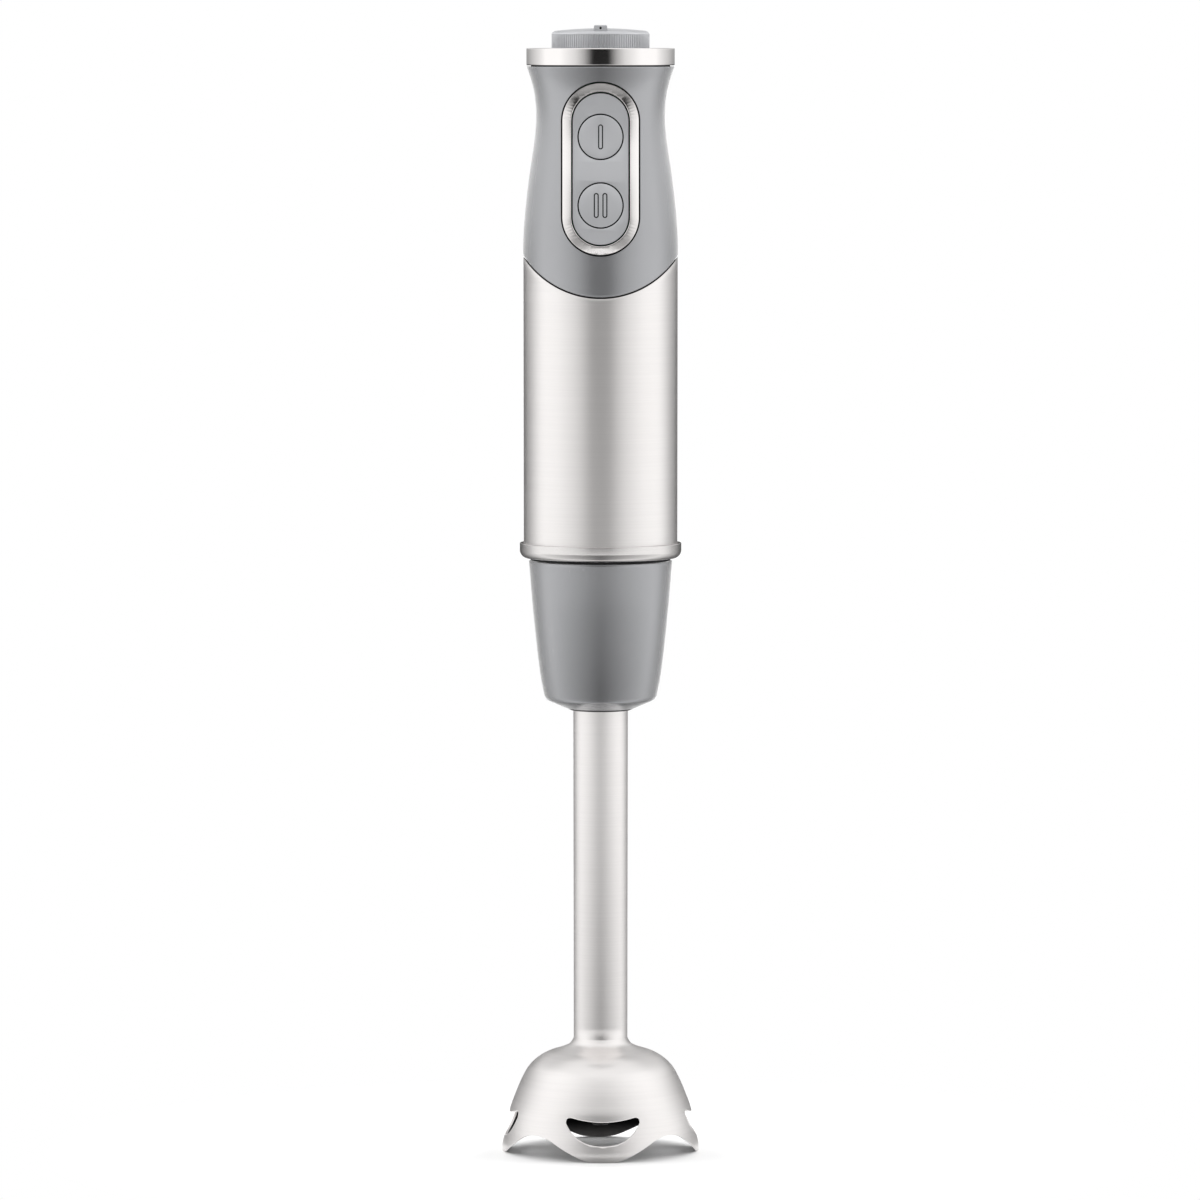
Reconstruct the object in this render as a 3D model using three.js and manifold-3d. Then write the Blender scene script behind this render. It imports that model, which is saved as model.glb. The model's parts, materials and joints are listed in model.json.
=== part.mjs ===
// Stick blender with a twist-off steel foot.
// Millimetres, +Z up. The blender stands on the four teeth of its bell, the origin is on the floor
// under the drive axis, and the buttons face -Y.

import * as THREE from 'three';
import { mergeVertices } from 'three/addons/utils/BufferGeometryUtils.js';
import Module from 'manifold-3d';

const wasm = await Module();
wasm.setup();

// ---------------------------------------------------------------- driving dimensions

const gap = 0.3; // between pieces that touch on the real blender
const degrees = Math.PI / 180;
const fine = 24; // facets around the large turned pieces
const medium = 16; // around the inner ones
const coarse = 10; // around the small ones

// Grip: a turned shape with a flared top, a narrow waist and a full lower end, as [height, radius].
const grip = {
  top: 381,
  wall: 2.4,
  lipRadius: 24.3, // raised lip that the crown ring locates on
  lipTop: 381.9,
  skirtRadius: 25.85,
  skirtInside: 23.6,
  skirtBottom: 290,
  line: [
    [298, 27.0], [310, 27.05], [318, 27.1], [326, 26.75], [334, 26.0], [342, 25.05], [350, 23.85],
    [357, 22.9], [364, 22.48], [370.5, 22.95], [376, 24.15], [381, 25.85],
  ],
};

// The seam between grip and steel sleeve hangs as a round U, front and back.
const seam = { radius: 32.6, centre: 333.7 };

const sleeve = {
  radiusTop: 27.0, radiusBottom: 26.9, wall: 0.8, bottom: 211.2, clearance: 0.35,
};

const crown = { radius: 25.9, bottom: 381.4, top: 387.4, inside: 23.2 }; // chrome ring on the grip
const well = { radius: 17.6, floor: 385.2 }; // in the top cover, under the dial
const dial = { radius: 17.1, bottom: 386, ribTop: 392.4, shoulder: 393.3, peak: 394.3, ribs: 32 };
const pointer = { width: 4.4, top: 395.4, front: -15.4, back: 6 };
const coverScrew = { x: 11.5, shank: 1.3, thread: 1.4, head: 2.7, bottom: 366.5, seat: 385.5, top: 387 };
const spigotScrew = {
  from: 12.6, // distance of the three screws from the axis
  shank: 1.3, head: 2.8, bottom: 199.9, seat: 202.1, top: 216.6,
};
const screwHole = 1.8; // radius, for both kinds

// Rubber bushing where the mains lead enters, at the back of the grip.
const inlet = { height: 366, hole: 4.6, seat: 6.2, seatDepth: 1.2 };

// Button panel: a pill-shaped opening in the grip with a bezel, a plate and two round buttons.
const panel = {
  centre: 345.55,
  halfSpan: 16.5, // from the middle to the centre of each round end
  bezelOutside: 13.35,
  bezelInside: 10.2,
  groove: 0.45, // between the bezel and the grip
  plateRadius: 9.75,
  plateSunk: 0.3,
  plateSkin: 2,
  back: -14.5,
};
const button = { radius: 7.6, hole: 8, rear: -17.4, upper: 356.7, lower: 333 };

// Collar ring round the lower edge of the sleeve.
const collar = {
  radius: 28.3,
  top: 214.4,
  bottom: 209.1,
  rounding: 2.8,
  edge: 0.3,
  hook: 209.7, // inner ledge that clips under the flange of the spigot
  sleeveSeat: 210.9,
};

// Bayonet between the motor unit and the foot.
const bayonet = {
  lugs: 3,
  spigotRadius: 18.6,
  spigotBottom: 189,
  floorBottom: 202.4,
  flangeTop: 211,
  lugRadius: 20.4,
  lugBottom: 192,
  lugTop: 197,
  lugHalf: 12, // degrees either side
  ledgeInside: 19,
  ledgeTop: 201,
  slotFrom: -57, // the entry slot of each ledge, in degrees from its lug when locked
  slotTo: -25,
};

// Foot adapter: the grey cone below the collar, as [height, radius].
const adapter = {
  wall: 2.3,
  line: [[160.6, 19.7], [166, 20.78], [173, 21.78], [182, 22.8], [194, 23.97], [208.1, 25.09]],
  underside: 155.6,
  hubRadius: 12.2,
  hubTop: 176,
};

// Steel foot: tube and bell in one, as [height, radius] from the rim up.
const foot = {
  seatTurn: 1.5, // degrees between the buttons and the front tooth when locked
  sheet: 1.0,
  tubeTop: 174,
  line: [
    [0, 34.6], [3, 34.45], [7.5, 33.3], [14.7, 31.9], [20, 30], [25.4, 27.7], [29.6, 25.3],
    [32.7, 22.1], [34.8, 18.4], [36.2, 14.1], [37.5, 10.8], [39.7, 9.42], [155, 9.57], [174, 9.57],
  ],
};

const motor = { stackBottom: 237, stackTop: 267, shaft: 4, airGap: 0.6, armature: 12.8 };
const bladeShaft = { radius: 3, top: 186.8, bottom: 9 };

// ---------------------------------------------------------------- finishes

function finish(colour, roughness, metalness) {
  return new THREE.MeshStandardMaterial({ color: colour, roughness, metalness });
}

const greyPlastic = finish(0xb4b6b8, 0.45, 0);
const innerPlastic = finish(0x3b3d40, 0.7, 0);
const chrome = finish(0xe6e4e2, 0.06, 1);
const brushedSteel = finish(0xcfcbc7, 0.32, 1);
const bareSteel = finish(0x9fa0a2, 0.35, 1);
const blackRubber = finish(0x121212, 0.85, 0);
const laminations = finish(0x5f6266, 0.55, 1);
const copper = finish(0xb5652e, 0.4, 1);
const brass = finish(0xc9a24c, 0.35, 1);
const boardGreen = finish(0x2c5a3c, 0.6, 0);
const carbon = finish(0x232323, 0.8, 0);

// ---------------------------------------------------------------- shape helpers

// Shares the corners, drops collapsed triangles and turns the faces outwards.
function closed(geometry) {
  const bare = geometry.index ? geometry.toNonIndexed() : geometry.clone();
  bare.deleteAttribute('normal');
  bare.deleteAttribute('uv');
  const merged = mergeVertices(bare, 1e-4);
  const source = merged.index.array;
  const corner = (i) => new THREE.Vector3().fromBufferAttribute(merged.attributes.position, i);
  const kept = [];
  let volume = 0;
  for (let i = 0; i < source.length; i += 3) {
    const [a, b, c] = source.slice(i, i + 3);
    if (a === b || b === c || a === c) continue;
    kept.push(a, b, c);
    volume += corner(a).dot(corner(b).cross(corner(c)));
  }
  if (volume < 0) kept.reverse();
  merged.setIndex(kept);
  return merged;
}

function toSolid(geometry) {
  const shape = closed(geometry);
  const mesh = new wasm.Mesh({
    numProp: 3,
    vertProperties: new Float32Array(shape.attributes.position.array),
    triVerts: new Uint32Array(shape.index.array),
  });
  return new wasm.Manifold(mesh);
}

function toGeometry(solid) {
  const mesh = solid.getMesh();
  const geometry = new THREE.BufferGeometry();
  geometry.setAttribute('position', new THREE.BufferAttribute(mesh.vertProperties, 3));
  geometry.setIndex(new THREE.BufferAttribute(mesh.triVerts, 1));
  return geometry;
}

function join(first, ...others) {
  return toGeometry(others.reduce((solid, other) => solid.add(toSolid(other)), toSolid(first)));
}

function cut(first, ...others) {
  return toGeometry(others.reduce((solid, other) => solid.subtract(toSolid(other)), toSolid(first)));
}

function common(first, ...others) {
  return toGeometry(others.reduce((solid, other) => solid.intersect(toSolid(other)), toSolid(first)));
}

// Turned solid round Z from [radius, height] points that start and end on the axis.
function turned(profile, facets = coarse) {
  const points = profile.map(([radius, height]) => new THREE.Vector2(radius, height));
  return closed(new THREE.LatheGeometry(points, facets).rotateX(Math.PI / 2));
}

// Turned ring round Z: the profile is a loop that stays off the axis.
function ring(profile, facets = coarse) {
  return turned([...profile, profile[0]], facets);
}

function tube(outside, inside, bottom, top, facets = coarse) {
  return ring([[outside, bottom], [outside, top], [inside, top], [inside, bottom]], facets);
}

function rod(radius, bottom, top, facets = coarse) {
  return turned([[0, bottom], [radius, bottom], [radius, top], [0, top]], facets);
}

function block(x0, x1, y0, y1, z0, z1) {
  const shape = new THREE.BoxGeometry(x1 - x0, y1 - y0, z1 - z0);
  return closed(shape.translate((x0 + x1) / 2, (y0 + y1) / 2, (z0 + z1) / 2));
}

// Outline in X and Y, raised along Z.
function raised(outline, bottom, top, curveSegments = 12) {
  const shape = new THREE.ExtrudeGeometry(outline, {
    depth: top - bottom, bevelEnabled: false, curveSegments,
  });
  return closed(shape.translate(0, 0, bottom));
}

// Outline in X and Z, run along Y from back to front.
function facing(outline, back, front, curveSegments = 12) {
  const shape = new THREE.ExtrudeGeometry(outline, {
    depth: back - front, bevelEnabled: false, curveSegments,
  });
  return closed(shape.rotateX(Math.PI / 2).translate(0, back, 0));
}

// Skins a row of loops that all have the same number of points.
function loft(loops, endless) {
  const count = loops[0].length;
  const positions = loops.flat().flatMap((point) => point.toArray());
  const faces = [];
  const bands = endless ? loops.length : loops.length - 1;
  for (let i = 0; i < bands; i += 1) {
    const here = i * count;
    const next = ((i + 1) % loops.length) * count;
    for (let k = 0; k < count; k += 1) {
      const l = (k + 1) % count;
      faces.push(here + k, here + l, next + l, here + k, next + l, next + k);
    }
  }
  const last = (loops.length - 1) * count;
  for (let k = 1; !endless && k < count - 1; k += 1) {
    faces.push(0, k + 1, k, last, last + k, last + k + 1);
  }
  const geometry = new THREE.BufferGeometry();
  geometry.setAttribute('position', new THREE.Float32BufferAttribute(positions, 3));
  geometry.setIndex(faces);
  return closed(geometry);
}

// Sector of a ring between two angles in degrees.
function sector(inside, outside, from, to, bottom, top, steps = 4) {
  const outline = new THREE.Shape();
  for (let i = 0; i <= steps; i += 1) {
    const angle = (from + ((to - from) * i) / steps) * degrees;
    outline[i ? 'lineTo' : 'moveTo'](outside * Math.cos(angle), outside * Math.sin(angle));
  }
  for (let i = steps; i >= 0; i -= 1) {
    const angle = (from + ((to - from) * i) / steps) * degrees;
    outline.lineTo(inside * Math.cos(angle), inside * Math.sin(angle));
  }
  return raised(outline, bottom, top);
}

// The same shape at equal angles round the Z axis.
function aroundZ(count, make, first = 0) {
  return Array.from({ length: count }, (_, i) => make(i).rotateZ((first + (i * 360) / count) * degrees));
}

function smoothLine(stations, steps) {
  const curve = new THREE.SplineCurve(stations.map(([height, radius]) => new THREE.Vector2(radius, height)));
  return curve.getPoints(steps).map((point) => [point.x, point.y]);
}

// Radius of the grip at a height, read off the same line that the grip is turned from.
const gripLine = smoothLine(grip.line, 66);

function gripRadius(height) {
  const above = gripLine.findIndex(([, z]) => z >= height);
  const [r1, z1] = gripLine[Math.max(above, 1)];
  const [r0, z0] = gripLine[Math.max(above, 1) - 1];
  return r0 + ((r1 - r0) * (height - z0)) / (z1 - z0);
}

// ---------------------------------------------------------------- scene tree

const blender = new THREE.Group();

function group(parent, x = 0, y = 0, z = 0) {
  const node = new THREE.Group();
  node.position.set(x, y, z);
  parent.add(node);
  return node;
}

function piece(parent, name, geometry, material, x = 0, y = 0, z = 0) {
  const mesh = new THREE.Mesh(geometry, material.clone());
  mesh.name = name;
  mesh.position.set(x, y, z);
  parent.add(mesh);
  return mesh;
}

// ---------------------------------------------------------------- grip

// Everything above the U-shaped seam, grown or shrunk by a clearance.
function aboveSeam(clearance) {
  const disc = new THREE.Shape().absarc(0, seam.centre, seam.radius + clearance, 0, 2 * Math.PI);
  const over = block(-60, 60, -60, 60, seam.centre, 420);
  return join(facing(disc, 60, -60, 32), over);
}

function pill(radius) {
  const outline = new THREE.Shape();
  outline.absarc(0, panel.centre + panel.halfSpan, radius, 0, Math.PI);
  outline.absarc(0, panel.centre - panel.halfSpan, radius, Math.PI, 2 * Math.PI);
  outline.closePath();
  return outline;
}

// The space behind a front that follows the waist in height and is flat across its width.
function behindFront(proud) {
  const outline = new THREE.Shape();
  const low = panel.centre - 33;
  const high = panel.centre + 33;
  const steps = 9;
  outline.moveTo(0, low);
  for (let i = 0; i <= steps; i += 1) {
    const height = low + ((high - low) * i) / steps;
    outline.lineTo(-(gripRadius(height) + proud), height);
  }
  outline.lineTo(0, high);
  const shape = new THREE.ExtrudeGeometry(outline, { depth: 40, bevelEnabled: false });
  const across = new THREE.Matrix4().makeBasis(
    new THREE.Vector3(0, 1, 0), new THREE.Vector3(0, 0, 1), new THREE.Vector3(1, 0, 0),
  );
  return closed(shape.applyMatrix4(across).translate(-20, 0, 0));
}

function gripShell() {
  const outside = smoothLine(grip.line, 13);
  const low = outside[0][1];
  const body = common(turned([
    [0, low], ...outside, [grip.lipRadius, grip.top], [grip.lipRadius, grip.lipTop], [0, grip.lipTop],
  ], fine), aboveSeam(0));
  const skirt = rod(grip.skirtRadius, grip.skirtBottom, seam.centre, fine);
  const inside = smoothLine(grip.line.slice(4), 5).map(([r, z]) => [r - grip.wall, z]);
  const hollow = turned([
    [0, grip.skirtBottom - 1], [grip.skirtInside, grip.skirtBottom - 1], ...inside,
    [inside.at(-1)[0], grip.lipTop + 1], [0, grip.lipTop + 1],
  ], fine);
  const window = facing(pill(panel.bezelOutside + panel.groove), -10, -40, 8);
  const disc = (radius) => new THREE.Shape().absarc(0, inlet.height, radius, 0, 2 * Math.PI);
  const inletHole = facing(disc(inlet.hole), 40, 10, 8);
  const inletSeat = facing(disc(inlet.seat), 40, inletFace(), 8);
  return cut(join(body, skirt), hollow, window, inletHole, inletSeat);
}

function steelSleeve() {
  const inside = sleeve.radiusTop - sleeve.wall;
  const wall = ring([
    [sleeve.radiusBottom, sleeve.bottom], [sleeve.radiusTop, seam.centre],
    [inside, seam.centre], [inside, sleeve.bottom],
  ], fine);
  return cut(wall, aboveSeam(sleeve.clearance));
}

// The flat that the inlet bushing seats on, sunk into the back of the grip.
function inletFace() {
  return gripRadius(inlet.height) - inlet.seatDepth;
}

function leadInlet() {
  const bore = 2.6;
  const profile = [[5.8, 0], [5.8, 1.6], [4.4, 4.4], [bore, 4.4], [bore, -4], [4.2, -4], [4.2, 0]];
  return ring(profile, 16).rotateX(-Math.PI / 2);
}

// ---------------------------------------------------------------- crown, dial and speed control

function crownRing() {
  const { radius, bottom, top, inside } = crown;
  const edge = 0.3;
  const rebate = grip.lipRadius + gap;
  return ring([
    [radius - edge, bottom], [radius, bottom + edge], [radius, top - edge], [radius - edge, top],
    [inside, top], [inside, grip.lipTop + gap], [rebate, grip.lipTop + gap], [rebate, bottom],
  ], fine);
}

function topCover() {
  const rim = crown.inside - gap;
  const disc = turned([
    [0, 383.6], [19.4, 383.6], [19.4, 378.5], [20.7, 378.5], [20.7, 382.2], [rim, 382.2],
    [rim, crown.top - 0.5], [well.radius, crown.top - 0.5], [well.radius, well.floor], [0, well.floor],
  ], medium);
  const posts = [-1, 1].map((side) => rod(3.2, 376.4, 384).translate(side * coverScrew.x, 0, 0));
  const holes = [-1, 1].map((side) => rod(screwHole, 370, 390, 8).translate(side * coverScrew.x, 0, 0));
  return cut(join(disc, ...posts), ...holes, rod(4.9, 380, 390));
}

function speedDial() {
  const ribbed = new THREE.Shape();
  const depth = 0.35;
  for (let i = 0; i < dial.ribs * 2; i += 1) {
    const angle = (i * Math.PI) / dial.ribs;
    const radius = dial.radius - (i % 2 ? depth : 0);
    ribbed[i ? 'lineTo' : 'moveTo'](radius * Math.cos(angle), radius * Math.sin(angle));
  }
  const skirt = raised(ribbed, dial.bottom, dial.ribTop);
  const cap = turned([
    [0, dial.ribTop - 0.2], [dial.radius - 0.1, dial.ribTop - 0.2], [dial.radius - 0.1, dial.ribTop + 0.2],
    [dial.radius - 0.4, dial.shoulder - 0.35], [dial.radius - 1.1, dial.shoulder], [0, dial.peak],
  ], medium);
  const ridge = new THREE.Shape();
  const half = pointer.width / 2;
  ridge.moveTo(-half, pointer.front);
  ridge.lineTo(half, pointer.front);
  ridge.lineTo(half * 0.8, pointer.back);
  ridge.absarc(0, pointer.back, half * 0.8, 0, Math.PI);
  ridge.closePath();
  const pip = facing(new THREE.Shape().absarc(0, 394.3, 0.45, 0, 2 * Math.PI), -14.4, -17, 3);
  const hollow = ring([[14.9, dial.bottom - 1], [14.9, 391.4], [4.6, 391.4], [4.6, dial.bottom - 1]]);
  const bore = rod(3.3, dial.bottom - 1, 391.4);
  return cut(join(skirt, cap, raised(ridge, dial.ribTop, pointer.top, 4)), hollow, bore, pip);
}

function dialSpindle() {
  const flat = block(2.3, 4, -4, 4, 386.5, 392);
  return cut(join(rod(3, 378, 391), rod(5.2, 377.4, 379.4)), flat);
}

function speedPotentiometer() {
  const can = turned([[0, 376.3], [7.8, 376.3], [7.8, 382.4], [4.6, 382.4], [4.6, 384.9], [0, 384.9]]);
  const chamber = turned([[0, 377], [5.6, 377], [5.6, 379.8], [3.3, 379.8], [3.3, 386], [0, 386]]);
  return cut(can, chamber);
}

// Round board under the cover, with its choke, capacitor and triac.
function controlBoard() {
  const plate = rod(19.3, 374.5, 376);
  const holes = [-1, 1].map((side) => rod(2, 373, 377, 8).translate(side * coverScrew.x, 0, 0));
  const choke = rod(4.5, 366, 374.6).translate(0, 9.5, 0);
  const capacitor = block(-7.5, 7.5, -3.5, 2.5, 364, 374.6);
  const triac = block(-4.5, 4.5, -12.8, -11.2, 362, 374.6);
  const flat = block(-20, 20, -20, -13.8, 374, 377); // clear of the back of the bezel
  return cut(join(plate, choke, capacitor, triac), ...holes, flat);
}

function longScrew() {
  const { shank, thread, head, bottom, seat, top } = coverScrew;
  return turned([
    [0, bottom], [shank, bottom], [thread, seat], [head, seat], [head - 0.2, top - 0.3], [0, top],
  ], 8);
}

// ---------------------------------------------------------------- button panel

// A frame swept round the pill, its sloping front following the waist of the grip.
function buttonBezel() {
  const middle = (panel.bezelOutside + panel.bezelInside) / 2;
  const half = (panel.bezelOutside - panel.bezelInside) / 2;
  const lip = [ // offset across the frame and how far it stands proud: a flat band that slopes outwards
    [-half, 0.35], [-half + 0.2, 0.6], [half - 0.25, -0.45], [half, -0.7],
  ];
  const stations = [];
  const arcSteps = 10;
  for (const side of [1, -1]) {
    for (let i = 0; i <= arcSteps; i += 1) {
      const angle = (side > 0 ? 0 : Math.PI) + (i * Math.PI) / arcSteps;
      stations.push({ angle, centre: panel.centre + side * panel.halfSpan });
    }
    const angle = side > 0 ? Math.PI : 0;
    for (const share of [0.5, 0, -0.5]) {
      stations.push({ angle, centre: panel.centre + side * share * panel.halfSpan });
    }
  }
  const loops = stations.map(({ angle, centre }) => {
    const at = (offset, depth) => {
      const x = (middle + offset) * Math.cos(angle);
      const z = centre + (middle + offset) * Math.sin(angle);
      return new THREE.Vector3(x, depth ?? 0, z);
    };
    const front = lip.map(([offset, proud]) => {
      const point = at(offset);
      return point.setY(-(gripRadius(point.z) + proud));
    });
    return [...front, at(half, panel.back), at(-half, panel.back)];
  });
  return loft(loops, true);
}

function buttonPlate() {
  const slab = facing(pill(panel.plateRadius), panel.back - 0.5, -40, 8);
  const front = common(slab, behindFront(-panel.plateSunk));
  const pocket = common(
    facing(pill(panel.plateRadius - 0.9), panel.back + 1, -40, 5),
    behindFront(-panel.plateSunk - panel.plateSkin),
  );
  const holes = [button.upper, button.lower].map((height) => {
    const outline = new THREE.Shape().absarc(0, height, button.hole, 0, 2 * Math.PI);
    return facing(outline, -10, -40, 10);
  });
  return cut(front, pocket, ...holes);
}

// Push button: a cap flush with the plate, a skirt with a stop flange and a stem to the switch.
function pushButton(height, pocketFront, flangeBack) {
  const disc = (radius, back, front, segments = 10) => {
    const outline = new THREE.Shape().absarc(0, height, radius, 0, 2 * Math.PI);
    return facing(outline, back, front, segments);
  };
  const cap = common(disc(button.radius, button.rear, -40), behindFront(-0.1));
  const flange = disc(button.radius + 0.7, flangeBack, flangeBack - 1.2);
  const pocket = disc(button.radius - 1.3, -10, pocketFront, 6);
  const stem = disc(1.9, -13.7, pocketFront - 0.5, 3);
  return join(cut(join(cap, flange), pocket), stem);
}

function helixSpring(radius, wire, from, to, turns, height) {
  class Helix extends THREE.Curve {
    getPoint(t, target = new THREE.Vector3()) {
      const angle = 2 * Math.PI * turns * t;
      return target.set(radius * Math.cos(angle), from + (to - from) * t, height + radius * Math.sin(angle));
    }
  }
  const section = new THREE.Shape().absarc(0, 0, wire / 2, 0, 2 * Math.PI);
  return closed(new THREE.ExtrudeGeometry(section, {
    steps: turns * 6, extrudePath: new Helix(), curveSegments: 2, bevelEnabled: false,
  }));
}

function microSwitch(height) {
  const body = block(-3.3, 3.3, -15.2, -10.5, height - 3.3, height + 3.3);
  const mouth = facing(new THREE.Shape().absarc(0, height, 2.3, 0, 2 * Math.PI), -11.6, -16, 6);
  return cut(body, mouth);
}

function switchBoard() {
  const plate = block(-11.4, 11.4, -10.2, -8.6, 318, 366);
  const terminals = [-6, -2, 2, 6].map((x) => block(x - 0.7, x + 0.7, -8.8, -3, 320, 323));
  return join(plate, ...terminals);
}

// Frame that stands on the motor and carries both boards.
function boardFrame() {
  const base = tube(23.2, 11, 302, 305, medium);
  const rails = [-1, 1].map((side) => {
    const [low, high] = side > 0 ? [9.6, 13.4] : [-13.4, -9.6];
    return block(low, high, -8.2, 3, 304.5, 374.2);
  });
  const bridge = block(-10, 10, -1.5, 2, 310, 316);
  const pilots = [-1, 1].map((side) => rod(1.7, 365, 376, 8).translate(side * coverScrew.x, 0, 0));
  return cut(join(base, ...rails, bridge), ...pilots);
}

// ---------------------------------------------------------------- motor

// Two-pole stack: an outer yoke, two pole shoes round the bore and four coil slots.
function fieldStack() {
  const yoke = new THREE.Shape().absarc(0, 0, 23.8, 0, 2 * Math.PI);
  const hole = new THREE.Path();
  const bore = motor.armature + motor.airGap;
  const slotOut = 20.4;
  const shoeTip = 66;
  const neck = 34;
  const arcTo = (radius, from, to, anticlockwise = false) => {
    hole.absarc(0, 0, radius, from * degrees, to * degrees, anticlockwise);
  };
  hole.moveTo(bore * Math.cos(-shoeTip * degrees), bore * Math.sin(-shoeTip * degrees));
  for (const pole of [0, 180]) {
    arcTo(bore, pole - shoeTip, pole + shoeTip);
    arcTo(bore + 1.8, pole + shoeTip, pole + neck, true);
    arcTo(slotOut, pole + neck, pole + 180 - neck);
    arcTo(bore + 1.8, pole + 180 - neck, pole + 180 - shoeTip, true);
  }
  hole.closePath();
  yoke.holes.push(hole);
  return raised(yoke, motor.stackBottom, motor.stackTop, 6);
}

// Field coil: a saddle winding that fills the slots beside one pole and bows over both ends.
function fieldCoil(side) {
  const section = [[15.6, -2.4], [20, -2.4], [20, 2.4], [15.6, 2.4]];
  const halfHeight = (motor.stackTop - motor.stackBottom) / 2 + 4.2;
  const middle = (motor.stackTop + motor.stackBottom) / 2;
  const spread = 50;
  const meanRadius = 18;
  const steps = 7;
  const path = [1, -1].flatMap((up) => Array.from({ length: steps + 1 }, (_, i) => (
    { angle: up * (spread - (2 * spread * i) / steps), up }
  )));
  const loops = path.map(({ angle, up }) => section.map(([radius, across]) => {
    const corner = Math.abs(angle) === spread ? Math.sign(angle) * (across / meanRadius) : 0;
    const turn = angle * degrees + corner;
    const r = radius * side;
    return new THREE.Vector3(r * Math.cos(turn), r * Math.sin(turn), middle + up * (halfHeight + across));
  }));
  return loft(loops, true);
}

function slottedDisc(radius, bore, slots, slotHalf, slotDepth, bottom, top) {
  const outline = new THREE.Shape();
  for (let i = 0; i < slots; i += 1) {
    const from = (i * 360) / slots + slotHalf;
    const to = ((i + 1) * 360) / slots - slotHalf;
    const corners = [
      [radius - slotDepth, from], [radius, from], [radius, (from + to) / 2], [radius, to],
      [radius - slotDepth, to],
    ];
    corners.forEach(([r, angle], k) => {
      const method = i + k ? 'lineTo' : 'moveTo';
      outline[method](r * Math.cos(angle * degrees), r * Math.sin(angle * degrees));
    });
  }
  outline.holes.push(new THREE.Path().absarc(0, 0, bore, 0, 2 * Math.PI));
  return raised(outline, bottom, top, 6);
}

function endWinding(low, high) {
  const middle = (low + high) / 2;
  return ring([
    [5, low], [10.2, low], [11.8, middle - 1.6], [11.8, middle + 1.6], [10.2, high], [5, high],
  ]);
}

function coolingFan() {
  const hub = tube(6.5, motor.shaft + gap, 218.6, 227.5);
  const disc = tube(21.8, 6, 226.2, 227.5, 21);
  const blades = aroundZ(7, () => {
    const outline = new THREE.Shape();
    outline.moveTo(6, -0.6);
    outline.quadraticCurveTo(14, -1.2, 21.4, 4.4);
    outline.lineTo(20.6, 5.2);
    outline.quadraticCurveTo(13.6, 0.4, 6, 0.6);
    return raised(outline, 219.6, 226.6, 3);
  });
  return join(hub, disc, ...blades);
}

// Half of the two-dog clutch; the foot carries its twin, turned a quarter turn.
function dogClutch({ body, dogs, bore, boreHeights, firstDog }) {
  const disc = rod(8.8, ...body);
  const teeth = aroundZ(2, () => sector(3.2, 8.6, -15, 15, ...dogs, 3), firstDog);
  return cut(join(disc, ...teeth), rod(bore, ...boreHeights));
}

function ballBearing(outside, bore, height) {
  return ring([
    [outside, 0], [outside, height], [outside - 1.8, height], [outside - 2, height - 0.6],
    [bore + 2, height - 0.6], [bore + 1.8, height], [bore, height], [bore, 0],
  ]);
}

// Plastic liner inside the sleeve: carries the field stack and the brush gear.
function motorHousing() {
  const wall = tube(25.7, 24.3, 211.4, 289.6, medium);
  const diaphragm = tube(24.6, 10, 211.4, 213.8, medium);
  const bosses = aroundZ(3, () => rod(3.4, 212, 217.6, 8).translate(spigotScrew.from, 0, 0), 60);
  const pilots = aroundZ(3, () => rod(screwHole, 205, 219, 8).translate(spigotScrew.from, 0, 0), 60);
  const vents = aroundZ(6, () => block(16.8, 22, -3, 3, 210, 215), 0);
  const brushPorts = [-1, 1].map((side) => block(-4.3, 4.3, side * 25 - 5, side * 25 + 5, 275.4, 283.6));
  return cut(join(wall, diaphragm, ...bosses), ...pilots, ...vents, ...brushPorts);
}

function upperBracket() {
  const plate = tube(24, 12.5, 286, 288.4, medium);
  const seat = ring([[13.4, 285.6], [13.4, 294.2], [5.4, 294.2], [5.4, 292.6], [11.3, 292.6], [11.3, 285.6]]);
  const windows = aroundZ(4, () => sector(15, 22, -28, 28, 284, 290, 2), 45);
  return cut(join(plate, seat), ...windows);
}

// Brass box that guides one carbon brush on to the commutator.
function brushHolder(side) {
  const outer = block(-4, 4, 10.2, 25.2, 275.7, 283.3);
  const inner = block(-3.1, 3.1, 9, 24.2, 276.6, 282.4);
  return cut(outer, inner).rotateZ(side > 0 ? 0 : Math.PI);
}

function carbonBrush(side) {
  return block(-2.8, 2.8, 9.4, 19, 276.9, 282.1).rotateZ(side > 0 ? 0 : Math.PI);
}

// ---------------------------------------------------------------- collar, spigot and seal

function collarRing() {
  const {
    radius, top, bottom, rounding, edge, hook, sleeveSeat,
  } = collar;
  const corner = [];
  const steps = 3;
  for (let i = 0; i <= steps; i += 1) {
    const angle = (i / steps) * 90 * degrees;
    corner.push([radius - rounding * (1 - Math.cos(angle)), bottom + rounding * (1 - Math.sin(angle))]);
  }
  return ring([
    [radius - edge, top], [radius, top - edge], ...corner,
    [24.6, bottom], [24.6, hook], [25.9, hook], [25.9, sleeveSeat], [27.3, sleeveSeat], [27.3, top],
  ], fine);
}

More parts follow.
